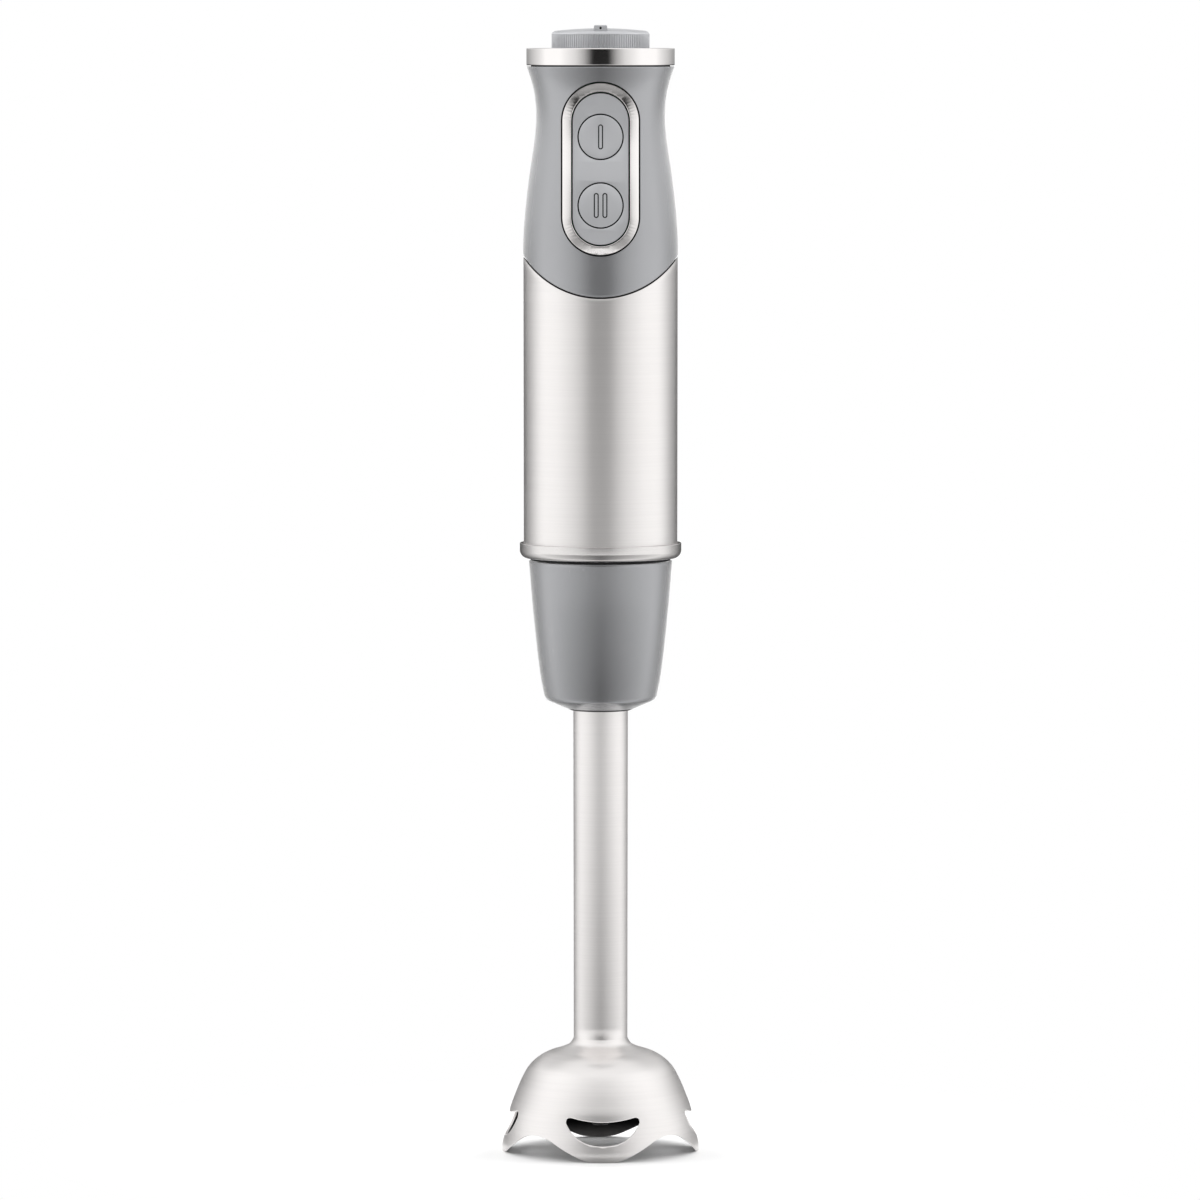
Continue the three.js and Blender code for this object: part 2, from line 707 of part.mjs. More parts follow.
function bayonetSpigot() {
  const { spigotRadius, spigotBottom, floorBottom, flangeTop, lugHalf } = bayonet;
  const body = turned([
    [0, floorBottom], [15.8, floorBottom], [15.8, spigotBottom + 0.6], [16.4, spigotBottom],
    [spigotRadius - 0.6, spigotBottom], [spigotRadius, spigotBottom + 0.6], [spigotRadius, collar.bottom],
    [24.3, collar.bottom], [24.3, collar.hook + gap], [25.6, collar.hook + gap], [25.6, flangeTop],
    [0, flangeTop],
  ], medium);
  const lugs = aroundZ(bayonet.lugs, () => sector(
    spigotRadius - 0.5, bayonet.lugRadius, -lugHalf, lugHalf, bayonet.lugBottom, bayonet.lugTop,
  ));
  const seat = rod(9.5, 206.2, flangeTop + 1);
  const shaftHole = rod(5.2, floorBottom - 1, 207);
  const hole = rod(screwHole, floorBottom - 1, flangeTop + 1, 8).translate(spigotScrew.from, 0, 0);
  const holes = aroundZ(3, () => hole.clone(), 60);
  return cut(join(body, ...lugs), seat, shaftHole, ...holes);
}

function shortScrew() {
  const { shank, head, bottom, seat, top } = spigotScrew;
  return turned([
    [0, bottom], [head - 1, bottom], [head, bottom + 1], [head, seat], [shank, seat], [shank, top], [0, top],
  ], 8);
}

// Flat ring under the spigot flange, with a lip that the rim of the adapter closes round.
function footSeal() {
  const top = collar.bottom - gap;
  const [outside, inside] = [24.5, 18.9];
  return ring([
    [outside, top - 0.4], [outside, top], [inside, top], [inside, top - 1.2], [inside + 1.7, top - 1.2],
    [inside + 2.5, top - 0.4],
  ], medium);
}

// ---------------------------------------------------------------- foot

function footAdapter() {
  const outside = smoothLine(adapter.line, 5);
  const inside = smoothLine(adapter.line, 2).map(([r, z]) => [r - adapter.wall, z]);
  const top = adapter.line.at(-1)[0];
  const shell = turned([
    [0, adapter.underside], [10.4, adapter.underside], [18.3, 158.95], [19.2, 159.6], ...outside,
    [outside.at(-1)[0] - 0.3, top], [0, top],
  ], fine);
  const hollow = turned([[0, 161.4], ...inside, [inside.at(-1)[0], top + 1], [0, top + 1]], fine);
  const hub = rod(adapter.hubRadius, 157, adapter.hubTop, medium);
  const ribs = aroundZ(3, () => block(11.6, 18.6, -0.8, 0.8, 158, 171), 30);
  const bore = rod(10.1, 150, adapter.hubTop + 1, medium);
  const {
    lugs, ledgeInside, ledgeTop, lugTop, lugBottom, slotFrom, slotTo,
  } = bayonet;
  const wallAt = 22;
  const ledges = aroundZ(lugs, () => (
    sector(ledgeInside, wallAt, slotTo, 120 + slotFrom, lugTop + gap, ledgeTop, 6)
  ));
  const stops = aroundZ(lugs, () => sector(ledgeInside, wallAt - 0.3, 14, 19, lugBottom, lugTop + 0.5, 2));
  return cut(join(cut(shell, hollow), hub, ...ribs, ...ledges, ...stops), bore);
}

// Smile-shaped slot above a tooth, seen from outside, for cutting along a radius.
function smile() {
  const outline = new THREE.Shape();
  outline.moveTo(-12.8, 13.3);
  outline.quadraticCurveTo(-9.6, 5.7, 0, 5.7);
  outline.quadraticCurveTo(9.6, 5.7, 12.8, 13.3);
  outline.quadraticCurveTo(12.9, 15.4, 11, 15.2);
  outline.quadraticCurveTo(0, 12.4, -11, 15.2);
  outline.quadraticCurveTo(-12.9, 15.4, -12.8, 13.3);
  return outline;
}

// Arch between two teeth: straight flanks and a round top.
function arch() {
  const outline = new THREE.Shape();
  outline.moveTo(-21.8, -1);
  outline.lineTo(-7.5, 6.6);
  outline.quadraticCurveTo(0, 9.9, 7.5, 6.6);
  outline.lineTo(21.8, -1);
  return outline;
}

function steelFoot() {
  const outside = foot.line.map(([height, radius]) => [radius, height]);
  const curve = foot.line.filter(([height], i) => height < 42 && (i % 2 === 0 || i === 11));
  const inside = curve.map(([height, radius], i) => {
    const [z0, r0] = curve[Math.max(i - 1, 0)];
    const [z1, r1] = curve[Math.min(i + 1, curve.length - 1)];
    const length = Math.hypot(z1 - z0, r1 - r0);
    const lift = i ? (foot.sheet * (r1 - r0)) / length : 0;
    return [radius - (foot.sheet * (z1 - z0)) / length, height + lift];
  });
  const wall = ring([
    ...outside, [outside.at(-1)[0] - foot.sheet, foot.tubeTop], ...inside.reverse(),
  ], fine);
  const slots = aroundZ(4, () => facing(smile(), -22, -40, 3));
  const arches = aroundZ(4, () => facing(arch(), -16, -40, 4), 45);
  return cut(wall, ...slots, ...arches);
}

function hubSleeve() {
  return ring([[8.1, 25], [8.1, 52], [6.3, 52], [6.3, 25.6], [4, 25.6], [4, 24.2], [7.3, 24.2]]);
}

// Lip seal that closes the hub round the shaft.
function shaftSeal() {
  return ring([[6, 26], [6, 31.6], [4.6, 31.6], [bladeShaft.radius + gap, 29.2], [4.4, 26]]);
}

// ---------------------------------------------------------------- blade

// Two swept wings, one bent up and one down, each ground to a cutting edge.
function bladeWings() {
  const wing = (lift, flip) => {
    const stations = [[3, 0, 5.2], [9, 0.1, 5], [14, 0.5, 4.6], [19, 0.85, 3.6], [23.4, 1, 1.6]];
    const loops = stations.map(([reach, share, half]) => {
      const sweep = 0.012 * reach * reach;
      const height = 14.6 + lift * share;
      const section = [[-half, 0], [-half + 2.4, 0.8], [half, 0.8], [half, -0.8], [-half + 2.4, -0.8]];
      return section.map(([across, up]) => {
        const y = (across + sweep) * flip;
        return new THREE.Vector3(reach * flip, y, height + up);
      });
    });
    return loft(loops, false);
  };
  const hub = rod(5.4, 12.6, 17);
  const bore = rod(bladeShaft.radius + gap, 10, 20);
  return cut(join(wing(4.5, 1), wing(-2.6, -1), hub), bore);
}

function driveShaft() {
  const { radius, bottom, top } = bladeShaft;
  return turned([[0, bottom], [radius - 0.4, bottom], [radius, bottom + 0.4], [radius, top], [0, top]]);
}

function bladeNut() {
  const outline = new THREE.Shape();
  for (let i = 0; i < 6; i += 1) {
    outline[i ? 'lineTo' : 'moveTo'](4.3 * Math.cos((i * Math.PI) / 3), 4.3 * Math.sin((i * Math.PI) / 3));
  }
  outline.holes.push(new THREE.Path().absarc(0, 0, bladeShaft.radius + gap, 0, 2 * Math.PI));
  return raised(outline, 9.8, 12.3, 6);
}

// ---------------------------------------------------------------- assembly

const motorUnit = group(blender);
piece(motorUnit, 'grip_shell', gripShell(), greyPlastic);
piece(motorUnit, 'motor_sleeve', steelSleeve(), brushedSteel);
piece(motorUnit, 'crown_ring', crownRing(), chrome);
piece(motorUnit, 'top_cover', topCover(), greyPlastic);
piece(motorUnit, 'lead_inlet', leadInlet(), blackRubber, 0, inletFace() + gap, inlet.height);
piece(motorUnit, 'button_bezel', buttonBezel(), chrome);
piece(motorUnit, 'button_plate', buttonPlate(), greyPlastic);
piece(motorUnit, 'switch_board', switchBoard(), boardGreen);
piece(motorUnit, 'on_switch', microSwitch(button.upper), innerPlastic);
piece(motorUnit, 'boost_switch', microSwitch(button.lower), innerPlastic);
piece(motorUnit, 'on_button_spring', helixSpring(3.3, 0.6, -15.6, -20, 4, button.upper), bareSteel);
piece(motorUnit, 'boost_button_spring', helixSpring(3.3, 0.6, -15.6, -22.8, 6, button.lower), bareSteel);
piece(motorUnit, 'board_frame', boardFrame(), innerPlastic);
piece(motorUnit, 'control_board', controlBoard(), boardGreen);
piece(motorUnit, 'speed_potentiometer', speedPotentiometer(), innerPlastic);
for (const [side, sign] of [['left', -1], ['right', 1]]) {
  piece(motorUnit, `cover_screw_${side}`, longScrew(), bareSteel, sign * coverScrew.x);
}
piece(motorUnit, 'motor_housing', motorHousing(), innerPlastic);
piece(motorUnit, 'field_stack', fieldStack(), laminations);
piece(motorUnit, 'field_coil_right', fieldCoil(1), copper);
piece(motorUnit, 'field_coil_left', fieldCoil(-1), copper);
piece(motorUnit, 'upper_bracket', upperBracket(), innerPlastic);
piece(motorUnit, 'upper_bearing', ballBearing(11, motor.shaft + gap, 6), bareSteel, 0, 0, 286.3);
piece(motorUnit, 'lower_bearing', ballBearing(9.2, motor.shaft + gap, 6), bareSteel, 0, 0, 206.5);
for (const [side, sign] of [['rear', 1], ['front', -1]]) {
  piece(motorUnit, `brush_holder_${side}`, brushHolder(sign), brass);
  piece(motorUnit, `carbon_brush_${side}`, carbonBrush(sign), carbon);
}
piece(motorUnit, 'collar_ring', collarRing(), brushedSteel);
piece(motorUnit, 'bayonet_spigot', bayonetSpigot(), innerPlastic);
piece(motorUnit, 'foot_seal', footSeal(), blackRubber);
for (let i = 0; i < 3; i += 1) {
  const angle = (60 + i * 120) * degrees;
  const [x, y] = [spigotScrew.from * Math.cos(angle), spigotScrew.from * Math.sin(angle)];
  piece(motorUnit, `spigot_screw_${i + 1}`, shortScrew(), bareSteel, x, y);
}

const dialGroup = group(blender);
piece(dialGroup, 'speed_dial', speedDial(), greyPlastic);
piece(dialGroup, 'dial_spindle', dialSpindle(), innerPlastic);

piece(blender, 'on_button', pushButton(button.upper, -20.4, -18.6), greyPlastic);
piece(blender, 'boost_button', pushButton(button.lower, -23.2, -21.2), greyPlastic);

const rotor = group(blender);
piece(rotor, 'motor_shaft', rod(motor.shaft, 195.3, 292), bareSteel);
piece(rotor, 'armature_core', slottedDisc(
  motor.armature, motor.shaft + gap, 12, 4, 5.5, motor.stackBottom, motor.stackTop,
), laminations);
piece(rotor, 'lower_end_winding', endWinding(229.5, motor.stackBottom - gap), copper);
piece(rotor, 'upper_end_winding', endWinding(motor.stackTop + gap, 273.6), copper);
piece(rotor, 'commutator', slottedDisc(9, motor.shaft + gap, 16, 2, 1.2, 274.4, 284.6), copper);
piece(rotor, 'cooling_fan', coolingFan(), innerPlastic);
piece(rotor, 'drive_dog', dogClutch({
  body: [193.8, 201.6], dogs: [188.6, 194.2], bore: motor.shaft + gap, boreHeights: [195, 203], firstDog: 0,
}), innerPlastic);

const footGroup = group(blender);
footGroup.rotation.z = foot.seatTurn * degrees;
piece(footGroup, 'foot_adapter', footAdapter().rotateZ(-foot.seatTurn * degrees), greyPlastic);
piece(footGroup, 'steel_foot', steelFoot(), brushedSteel);
piece(footGroup, 'upper_bush', tube(8.2, bladeShaft.radius + gap, 160, 173.6), brass);
piece(footGroup, 'hub_sleeve', hubSleeve(), innerPlastic);
piece(footGroup, 'lower_bush', tube(6, bladeShaft.radius + gap, 33, 51), brass);
piece(footGroup, 'shaft_seal', shaftSeal(), blackRubber);

const bladeGroup = group(footGroup);
piece(bladeGroup, 'blade_shaft', driveShaft(), bareSteel);
piece(bladeGroup, 'driven_dog', dogClutch({
  body: [180.4, 188.2],
  dogs: [187.8, 193.4],
  bore: bladeShaft.radius + gap,
  boreHeights: [179, bladeShaft.top + gap],
  firstDog: 90,
}), innerPlastic);
piece(bladeGroup, 'shaft_clip', tube(5.6, bladeShaft.radius + gap, 174.4, 175.6), bareSteel);
piece(bladeGroup, 'blade', bladeWings(), bareSteel);
piece(bladeGroup, 'blade_nut', bladeNut(), bareSteel);

export default blender;
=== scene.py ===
import json
from math import atan2, copysign, cos, hypot, pi, radians, sin, sqrt

import bmesh
import bpy
import numpy as np
from mathutils import Matrix, Vector


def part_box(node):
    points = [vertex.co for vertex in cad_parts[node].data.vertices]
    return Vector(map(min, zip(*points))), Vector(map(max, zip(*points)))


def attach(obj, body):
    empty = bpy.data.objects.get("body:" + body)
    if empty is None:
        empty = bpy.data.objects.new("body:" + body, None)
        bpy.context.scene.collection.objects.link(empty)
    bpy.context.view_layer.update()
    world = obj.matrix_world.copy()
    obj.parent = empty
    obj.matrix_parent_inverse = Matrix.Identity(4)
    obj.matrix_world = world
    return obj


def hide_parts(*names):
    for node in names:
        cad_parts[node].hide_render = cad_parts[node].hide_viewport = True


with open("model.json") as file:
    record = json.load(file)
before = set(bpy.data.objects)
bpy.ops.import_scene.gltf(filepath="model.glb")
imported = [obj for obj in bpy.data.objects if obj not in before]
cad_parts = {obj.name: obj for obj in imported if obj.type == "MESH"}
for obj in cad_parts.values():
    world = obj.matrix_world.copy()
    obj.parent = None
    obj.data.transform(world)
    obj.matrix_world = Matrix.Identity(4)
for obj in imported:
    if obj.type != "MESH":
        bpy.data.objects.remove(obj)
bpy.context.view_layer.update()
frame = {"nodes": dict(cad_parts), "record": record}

mm = 0.001
needle = 0.01  # inner radius of a round cutter, which keeps its profile off the axis
rootCollection = bpy.context.scene.collection


class Wire:  # wraps a socket, so that sums on it become Math nodes
    def __init__(self, tree, socket=None):
        self.tree = tree
        self.socket = socket

    def node(self, kind, settings=None, values=None, output=0):
        made = self.tree.nodes.new("ShaderNode" + kind)
        for key, value in (settings or {}).items():
            if key == "stops":
                row = made.color_ramp.elements
                while len(row) < len(value):
                    row.new(1)
                for stop, (place, level) in zip(row, value):
                    stop.position = place
                    stop.color = (level, level, level, 1)
            else:
                setattr(made, key, value)
        for key, value in (values or {}).items():
            entry = made.inputs[key]
            if isinstance(value, Wire):
                self.tree.links.new(value.socket, entry)
            else:
                entry.default_value = value
        return Wire(self.tree, made.outputs[output] if len(made.outputs) else None)

    def maths(self, operation, first, second=0.0, clamp=False):
        settings = {"operation": operation, "use_clamp": clamp}
        return self.node("Math", settings, {0: first, 1: second})

    def __add__(self, other):
        return self.maths("ADD", self, other)

    def __radd__(self, other):
        return self.maths("ADD", other, self)

    def __sub__(self, other):
        return self.maths("SUBTRACT", self, other)

    def __rsub__(self, other):
        return self.maths("SUBTRACT", other, self)

    def __mul__(self, other):
        return self.maths("MULTIPLY", self, other)

    def __rmul__(self, other):
        return self.maths("MULTIPLY", other, self)

    def __truediv__(self, other):
        return self.maths("DIVIDE", self, other)

    def __rtruediv__(self, other):
        return self.maths("DIVIDE", other, self)

    def clamped(self):
        return self.maths("ADD", self, 0.0, clamp=True)

    def between(self, low, high):  # 0 below low, 1 above high, smooth in the middle
        settings = {"interpolation_type": "SMOOTHSTEP"}
        return self.node("MapRange", settings, {"Value": self, "From Min": low, "From Max": high})

    def mixed(self, first, second):  # first colour where this is 0, second where it is 1
        return self.node("Mix", {"data_type": "RGBA"}, {0: self, 6: first, 7: second}, output=2)

    def noise(self, place, scale, detail=2.0, roughness=0.5):
        values = {"Vector": place, "Scale": scale, "Detail": detail, "Roughness": roughness}
        return self.node("TexNoise", None, values)

    def position(self):
        return self.node("TexCoord", None, None, "Object")


def newFinish(name):
    made = bpy.data.materials.new(name)
    made.use_nodes = True
    made.node_tree.nodes.clear()
    wire = Wire(made.node_tree)
    return made, wire, wire.position()


def relief(wire, height, strength, depth):
    return wire.node("Bump", None, {"Strength": strength, "Distance": depth, "Height": height})


def endFinish(wire, values):
    shader = wire.node("BsdfPrincipled", None, values)
    wire.node("OutputMaterial", None, {"Surface": shader})


def tone(level, tint=(1, 1, 1)):
    return tuple(level * share for share in tint) + (1,)


# the plastics are a little cool, the metals a little warm
coolTint = (0.985, 0.995, 1.025)
warmTint = (1.025, 0.997, 0.982)

# for each family: scales, darkest and lightest share of its level, sway of its roughness, depth of its bumps
moulded = {"cloud": 45.0, "tones": (0.96, 1.04), "grainSway": 0.06, "cloudSway": 0.02, "depth": 0.00002}
brushed = {
    "drift": 26.0, "tones": (0.985, 1.015), "marksSway": 0.1, "driftSway": 0.05, "depth": 0.00001,
    "rise": 0.9,  # how fast the marks move on with the radius, so that flat faces have them too
}
polished = {
    "haze": 220.0, "scratch": 2200.0, "tones": (0.97, 1.0), "hazeSway": 0.06, "scratchSway": 0.03,
    "depth": 0.000004, "relief": 0.1,
}


def mouldedPlastic(name, look):
    finish, wire, place = newFinish(name)
    grain = wire.noise(place, look["grain"], 2.0, 0.6)  # spark-eroded texture of the mould
    cloud = wire.noise(place, moulded["cloud"], 3.0)  # slow drift of the pigment
    dark, light = (tone(look["level"] * share, coolTint) for share in moulded["tones"])
    colour = (cloud * 0.6 + grain * 0.4).mixed(dark, light)
    dull = look["roughness"] + (grain - 0.5) * moulded["grainSway"] + (cloud - 0.5) * moulded["cloudSway"]
    bump = relief(wire, grain, look["relief"], moulded["depth"])
    endFinish(wire, {
        "Base Color": colour, "Metallic": look["metallic"], "Roughness": dull.clamped(), "Normal": bump,
        "Coat Weight": look.get("coat", 0.0), "Coat Roughness": look.get("coatRoughness", 0.2),
        "Sheen Weight": look.get("sheen", 0.0), "Sheen Roughness": 0.3,
    })
    return finish


def brushedMetal(name, look):  # brush marks run round the Z axis
    finish, wire, place = newFinish(name)
    x, y, z = (wire.node("SeparateXYZ", None, {0: place}, axis) for axis in "XYZ")
    flat = wire.node("CombineXYZ", None, {0: x, 1: y})
    radius = wire.node("VectorMath", {"operation": "LENGTH"}, {0: flat}, "Value")
    along = (z + radius * brushed["rise"]) * look["lines"]
    stretched = wire.node("CombineXYZ", None, {0: x * look["stretch"], 1: y * look["stretch"], 2: along})
    marks = wire.noise(stretched, 1.0, 3.0, 0.6)
    drift = wire.noise(place, brushed["drift"], 2.0)
    dark, light = (tone(look["level"] * share, warmTint) for share in brushed["tones"])
    colour = marks.between(0.3, 0.7).mixed(dark, light)
    if "deep" in look:  # painted shade: the metal turns near black between these two heights and above them
        colour = z.between(*look["deep"]).mixed(colour, tone(0.004))
    dull = look["roughness"] + (marks - 0.5) * brushed["marksSway"] + (drift - 0.5) * brushed["driftSway"]
    bump = relief(wire, marks, look["relief"], brushed["depth"])
    endFinish(wire, {
        "Base Color": colour, "Metallic": look["metallic"], "Roughness": dull.clamped(), "Normal": bump,
        "Anisotropic": look.get("spread", 0.0), "Anisotropic Rotation": look.get("spreadTurn", 0.25),
    })
    return finish


def polishedMetal(name, look):
    finish, wire, place = newFinish(name)
    haze = wire.noise(place, polished["haze"], 3.0, 0.6)  # faint wiping haze
    scratch = wire.noise(place, polished["scratch"], 2.0)
    dark, light = (tone(look["level"] * share, warmTint) for share in polished["tones"])
    colour = haze.mixed(dark, light)
    dull = look["roughness"] + (haze - 0.5) * polished["hazeSway"] + (scratch - 0.5) * polished["scratchSway"]
    bump = relief(wire, scratch, polished["relief"], polished["depth"])
    endFinish(wire, {"Base Color": colour, "Metallic": 1.0, "Roughness": dull.clamped(), "Normal": bump})
    return finish


def plainSolid(name, colour, metallic, roughness, grain=900.0):
    finish, wire, place = newFinish(name)
    speck = wire.noise(place, grain, 3.0, 0.65)
    dark = tuple(c * 0.82 for c in colour) + (1,)
    light = tuple(min(c * 1.14, 1) for c in colour) + (1,)
    endFinish(wire, {
        "Base Color": speck.mixed(dark, light), "Metallic": metallic,
        "Roughness": (roughness + (speck - 0.5) * 0.2).clamped(), "Normal": relief(wire, speck, 0.2, 0.00002),
    })
    return finish


def windings(name):  # enamelled wire laid side by side
    finish, wire, place = newFinish(name)
    turns = wire.node("TexWave", {"bands_direction": "Z"}, {
        "Vector": place, "Scale": 420.0, "Distortion": 1.2, "Detail": 2.0, "Detail Scale": 3.0,
    }, 1)
    endFinish(wire, {
        "Base Color": turns.mixed((0.24, 0.07, 0.02, 1), (0.62, 0.25, 0.1, 1)), "Metallic": 0.8,
        "Roughness": 0.45 - turns * 0.15, "Normal": relief(wire, turns, 0.5, 0.0002),
    })
    return finish


def stackedSheets(name):  # thin steel sheets pressed together
    finish, wire, place = newFinish(name)
    sheets = wire.node("TexWave", {"bands_direction": "Z"}, {
        "Vector": place, "Scale": 620.0, "Distortion": 0.1,
    }, 1)
    endFinish(wire, {
        "Base Color": sheets.mixed(tone(0.1), tone(0.3)), "Metallic": 0.9, "Roughness": 0.5 + sheets * 0.1,
        "Normal": relief(wire, sheets, 0.5, 0.0001),
    })
    return finish


gripLook = {
    "level": 0.38, "metallic": 0.78, "roughness": 0.25, "grain": 2600.0, "relief": 0.06, "sheen": 1.0,
}
plateLook = {"level": 0.62, "metallic": 0.55, "roughness": 0.36, "grain": 2600.0, "relief": 0.05}
dialLook = {"level": 0.62, "metallic": 0.6, "roughness": 0.38, "grain": 2400.0, "relief": 0.12}
adapterLook = {
    "level": 0.37, "metallic": 0.82, "roughness": 0.26, "grain": 2200.0, "relief": 0.015, "sheen": 1.0,
    "coat": 0.3, "coatRoughness": 0.1,
}
sleeveLook = {
    "level": 0.8, "metallic": 0.9, "roughness": 0.31, "stretch": 24.0, "lines": 2400.0, "relief": 0.06,
    "spread": 0.6,
}
footLook = {
    "level": 0.83, "metallic": 0.88, "roughness": 0.32, "stretch": 30.0, "lines": 2200.0, "relief": 0.04,
    "spread": 0.55, "spreadTurn": 0.0,
}
collarLook = {
    "level": 0.7, "metallic": 0.9, "roughness": 0.15, "stretch": 9.0, "lines": 3000.0, "relief": 0.04,
}
# painted shade: the inside of the bell is a darker, duller copy of the foot's steel
shadedInnerSteelLook = {
    "level": 0.32, "metallic": 0.8, "roughness": 0.5, "stretch": 20.0, "lines": 1800.0, "relief": 0.2,
    "deep": [-0.002, 0.006],
}
# painted highlight: the cut edges of the bell are near white and hardly metallic, so they read as bright lips
highlightedEdgeSteelLook = {
    "level": 0.9, "metallic": 0.1, "roughness": 0.3, "stretch": 12.0, "lines": 2200.0, "relief": 0.05,
}
bladeLook = {
    "level": 0.6, "metallic": 1.0, "roughness": 0.28, "stretch": 400.0, "lines": 400.0, "relief": 0.15,
}

gripPlastic = mouldedPlastic("gripPlastic", gripLook)
platePlastic = mouldedPlastic("platePlastic", plateLook)
dialPlastic = mouldedPlastic("dialPlastic", dialLook)
adapterPlastic = mouldedPlastic("adapterPlastic", adapterLook)
sleeveSteel = brushedMetal("sleeveSteel", sleeveLook)
footSteel = brushedMetal("footSteel", footLook)
collarSteel = brushedMetal("collarSteel", collarLook)
shadedInnerSteel = brushedMetal("shadedInnerSteel", shadedInnerSteelLook)
highlightedEdgeSteel = brushedMetal("highlightedEdgeSteel", highlightedEdgeSteelLook)
bladeSteel = brushedMetal("bladeSteel", bladeLook)
ringChrome = polishedMetal("ringChrome", {"level": 0.86, "roughness": 0.12})
bezelChrome = polishedMetal("bezelChrome", {"level": 0.9, "roughness": 0.13})
machinedSteel = polishedMetal("machinedSteel", {"level": 0.5, "roughness": 0.3})
# painted shade: the shaft and nut are near black, so the inside of the bell seen through the slots stays dark
shadeDarkSteel = polishedMetal("shadeDarkSteel", {"level": 0.05, "roughness": 0.4})
brass = polishedMetal("brass", {"level": 0.6, "roughness": 0.28})
# painted shade: a near-black finish put on the walls of narrow gaps, openings and recesses, where shade falls
gapShade = plainSolid("gapShade", (0.01, 0.01, 0.01), 0.0, 0.8)
blackRubber = plainSolid("blackRubber", (0.012, 0.012, 0.013), 0.0, 0.7, 1500.0)
innerPlastic = plainSolid("innerPlastic", (0.045, 0.048, 0.052), 0.0, 0.55)
boardGreen = plainSolid("boardGreen", (0.02, 0.13, 0.05), 0.0, 0.45, 500.0)
carbonBlock = plainSolid("carbonBlock", (0.02, 0.02, 0.02), 0.0, 0.6, 1800.0)
copperWire = windings("copperWire")
laminations = stackedSheets("laminations")
print("finishes made")


# every shape is in millimetres until placed scales it to metres
def smoothRow(stations, count):  # smooth line through [height, radius] stations
    row = []
    last = len(stations) - 1
    for step in range(count + 1):
        i = min(step * last // count, last - 1)
        t = step * last / count - i
        a, b, c, d = (stations[min(max(k, 0), last)] for k in (i - 1, i, i + 1, i + 2))
        row.append([
            q + ((r - p) * t + (2 * p - 5 * q + 4 * r - s) * t**2 + (3 * q - p - 3 * r + s) * t**3) / 2
            for p, q, r, s in zip(a, b, c, d)
        ])
    return row


def wholeGeometry(bm):
    return bm.verts[:] + bm.edges[:] + bm.faces[:]


def tidied(bm, reach=0.0005):
    bmesh.ops.remove_doubles(bm, verts=bm.verts[:], dist=reach)
    bmesh.ops.dissolve_degenerate(bm, dist=reach, edges=bm.edges[:])
    bmesh.ops.recalc_face_normals(bm, faces=bm.faces[:])
    return bm


def turned(profile, steps=192):  # a closed loop of [radius, height] spun round Z
    bm = bmesh.new()
    corners = [bm.verts.new((radius, 0, height)) for radius, height in profile]
    sides = [bm.edges.new((a, b)) for a, b in zip(corners, corners[1:] + corners[:1])]
    bmesh.ops.spin(
        bm, geom=corners + sides, axis=(0, 0, 1), cent=(0, 0, 0), angle=2 * pi, steps=steps, use_merge=True,
    )
    return tidied(bm)


def pipe(inside, outside, bottom, top, steps):
    return turned([[inside, bottom], [outside, bottom], [outside, top], [inside, top]], steps)


def sector(turn, sizes, steps):  # part of a ring, turned round by some degrees
    inside, outside, start, end, bottom, top = sizes
    bm = bmesh.new()
    loop = [(inside, bottom), (outside, bottom), (outside, top), (inside, top)]
    face = bm.faces.new([bm.verts.new((r, 0, z)) for r, z in loop])
    turnedBy(bm, turn + start)
    geometry = bm.verts[:] + bm.edges[:] + [face]
    bmesh.ops.spin(bm, geom=geometry, axis=(0, 0, 1), cent=(0, 0, 0), angle=radians(end - start), steps=steps)
    return tidied(bm)


def prism(radius, back, front, height=0.0, split=0.0, steps=64):
    # a disc standing in X and Z, or a pill where split parts its upper and lower halves
    bm = bmesh.new()
    rim = bmesh.ops.create_circle(bm, cap_ends=True, radius=radius, segments=steps)["verts"]
    bmesh.ops.rotate(bm, verts=rim, cent=(0, 0, 0), matrix=Matrix.Rotation(pi / steps, 3, "Z"))
    bmesh.ops.rotate(bm, verts=rim, cent=(0, 0, 0), matrix=Matrix.Rotation(pi / 2, 3, "X"))
    for corner in rim:
        corner.co.z += height + copysign(split, corner.co.z)
        corner.co.y += back
    grown = bmesh.ops.extrude_face_region(bm, geom=bm.faces[:])["geom"]
    moved = [part for part in grown if isinstance(part, bmesh.types.BMVert)]
    bmesh.ops.translate(bm, verts=moved, vec=(0, front - back, 0))
    return tidied(bm)


def movedBy(bm, x, y, z):
    bmesh.ops.translate(bm, verts=bm.verts[:], vec=(x, y, z))
    return bm


def bottomOf(edge):
    return min(v.co.z for v in edge.verts)


def backOf(edge):
    return max(v.co.y for v in edge.verts)


def rounded(bm, width, segments=3, least=30, chosen=None):
    bm.normal_update()
    sharp = [
        edge for edge in bm.edges
        if edge.is_manifold and edge.calc_face_angle(0) > radians(least) and (not chosen or chosen(edge))
    ]
    bmesh.ops.bevel(
        bm, geom=sharp, offset=width, offset_type="OFFSET", segments=segments, profile=0.5,
        affect="EDGES", clamp_overlap=True, material=-1,
    )
    return bm


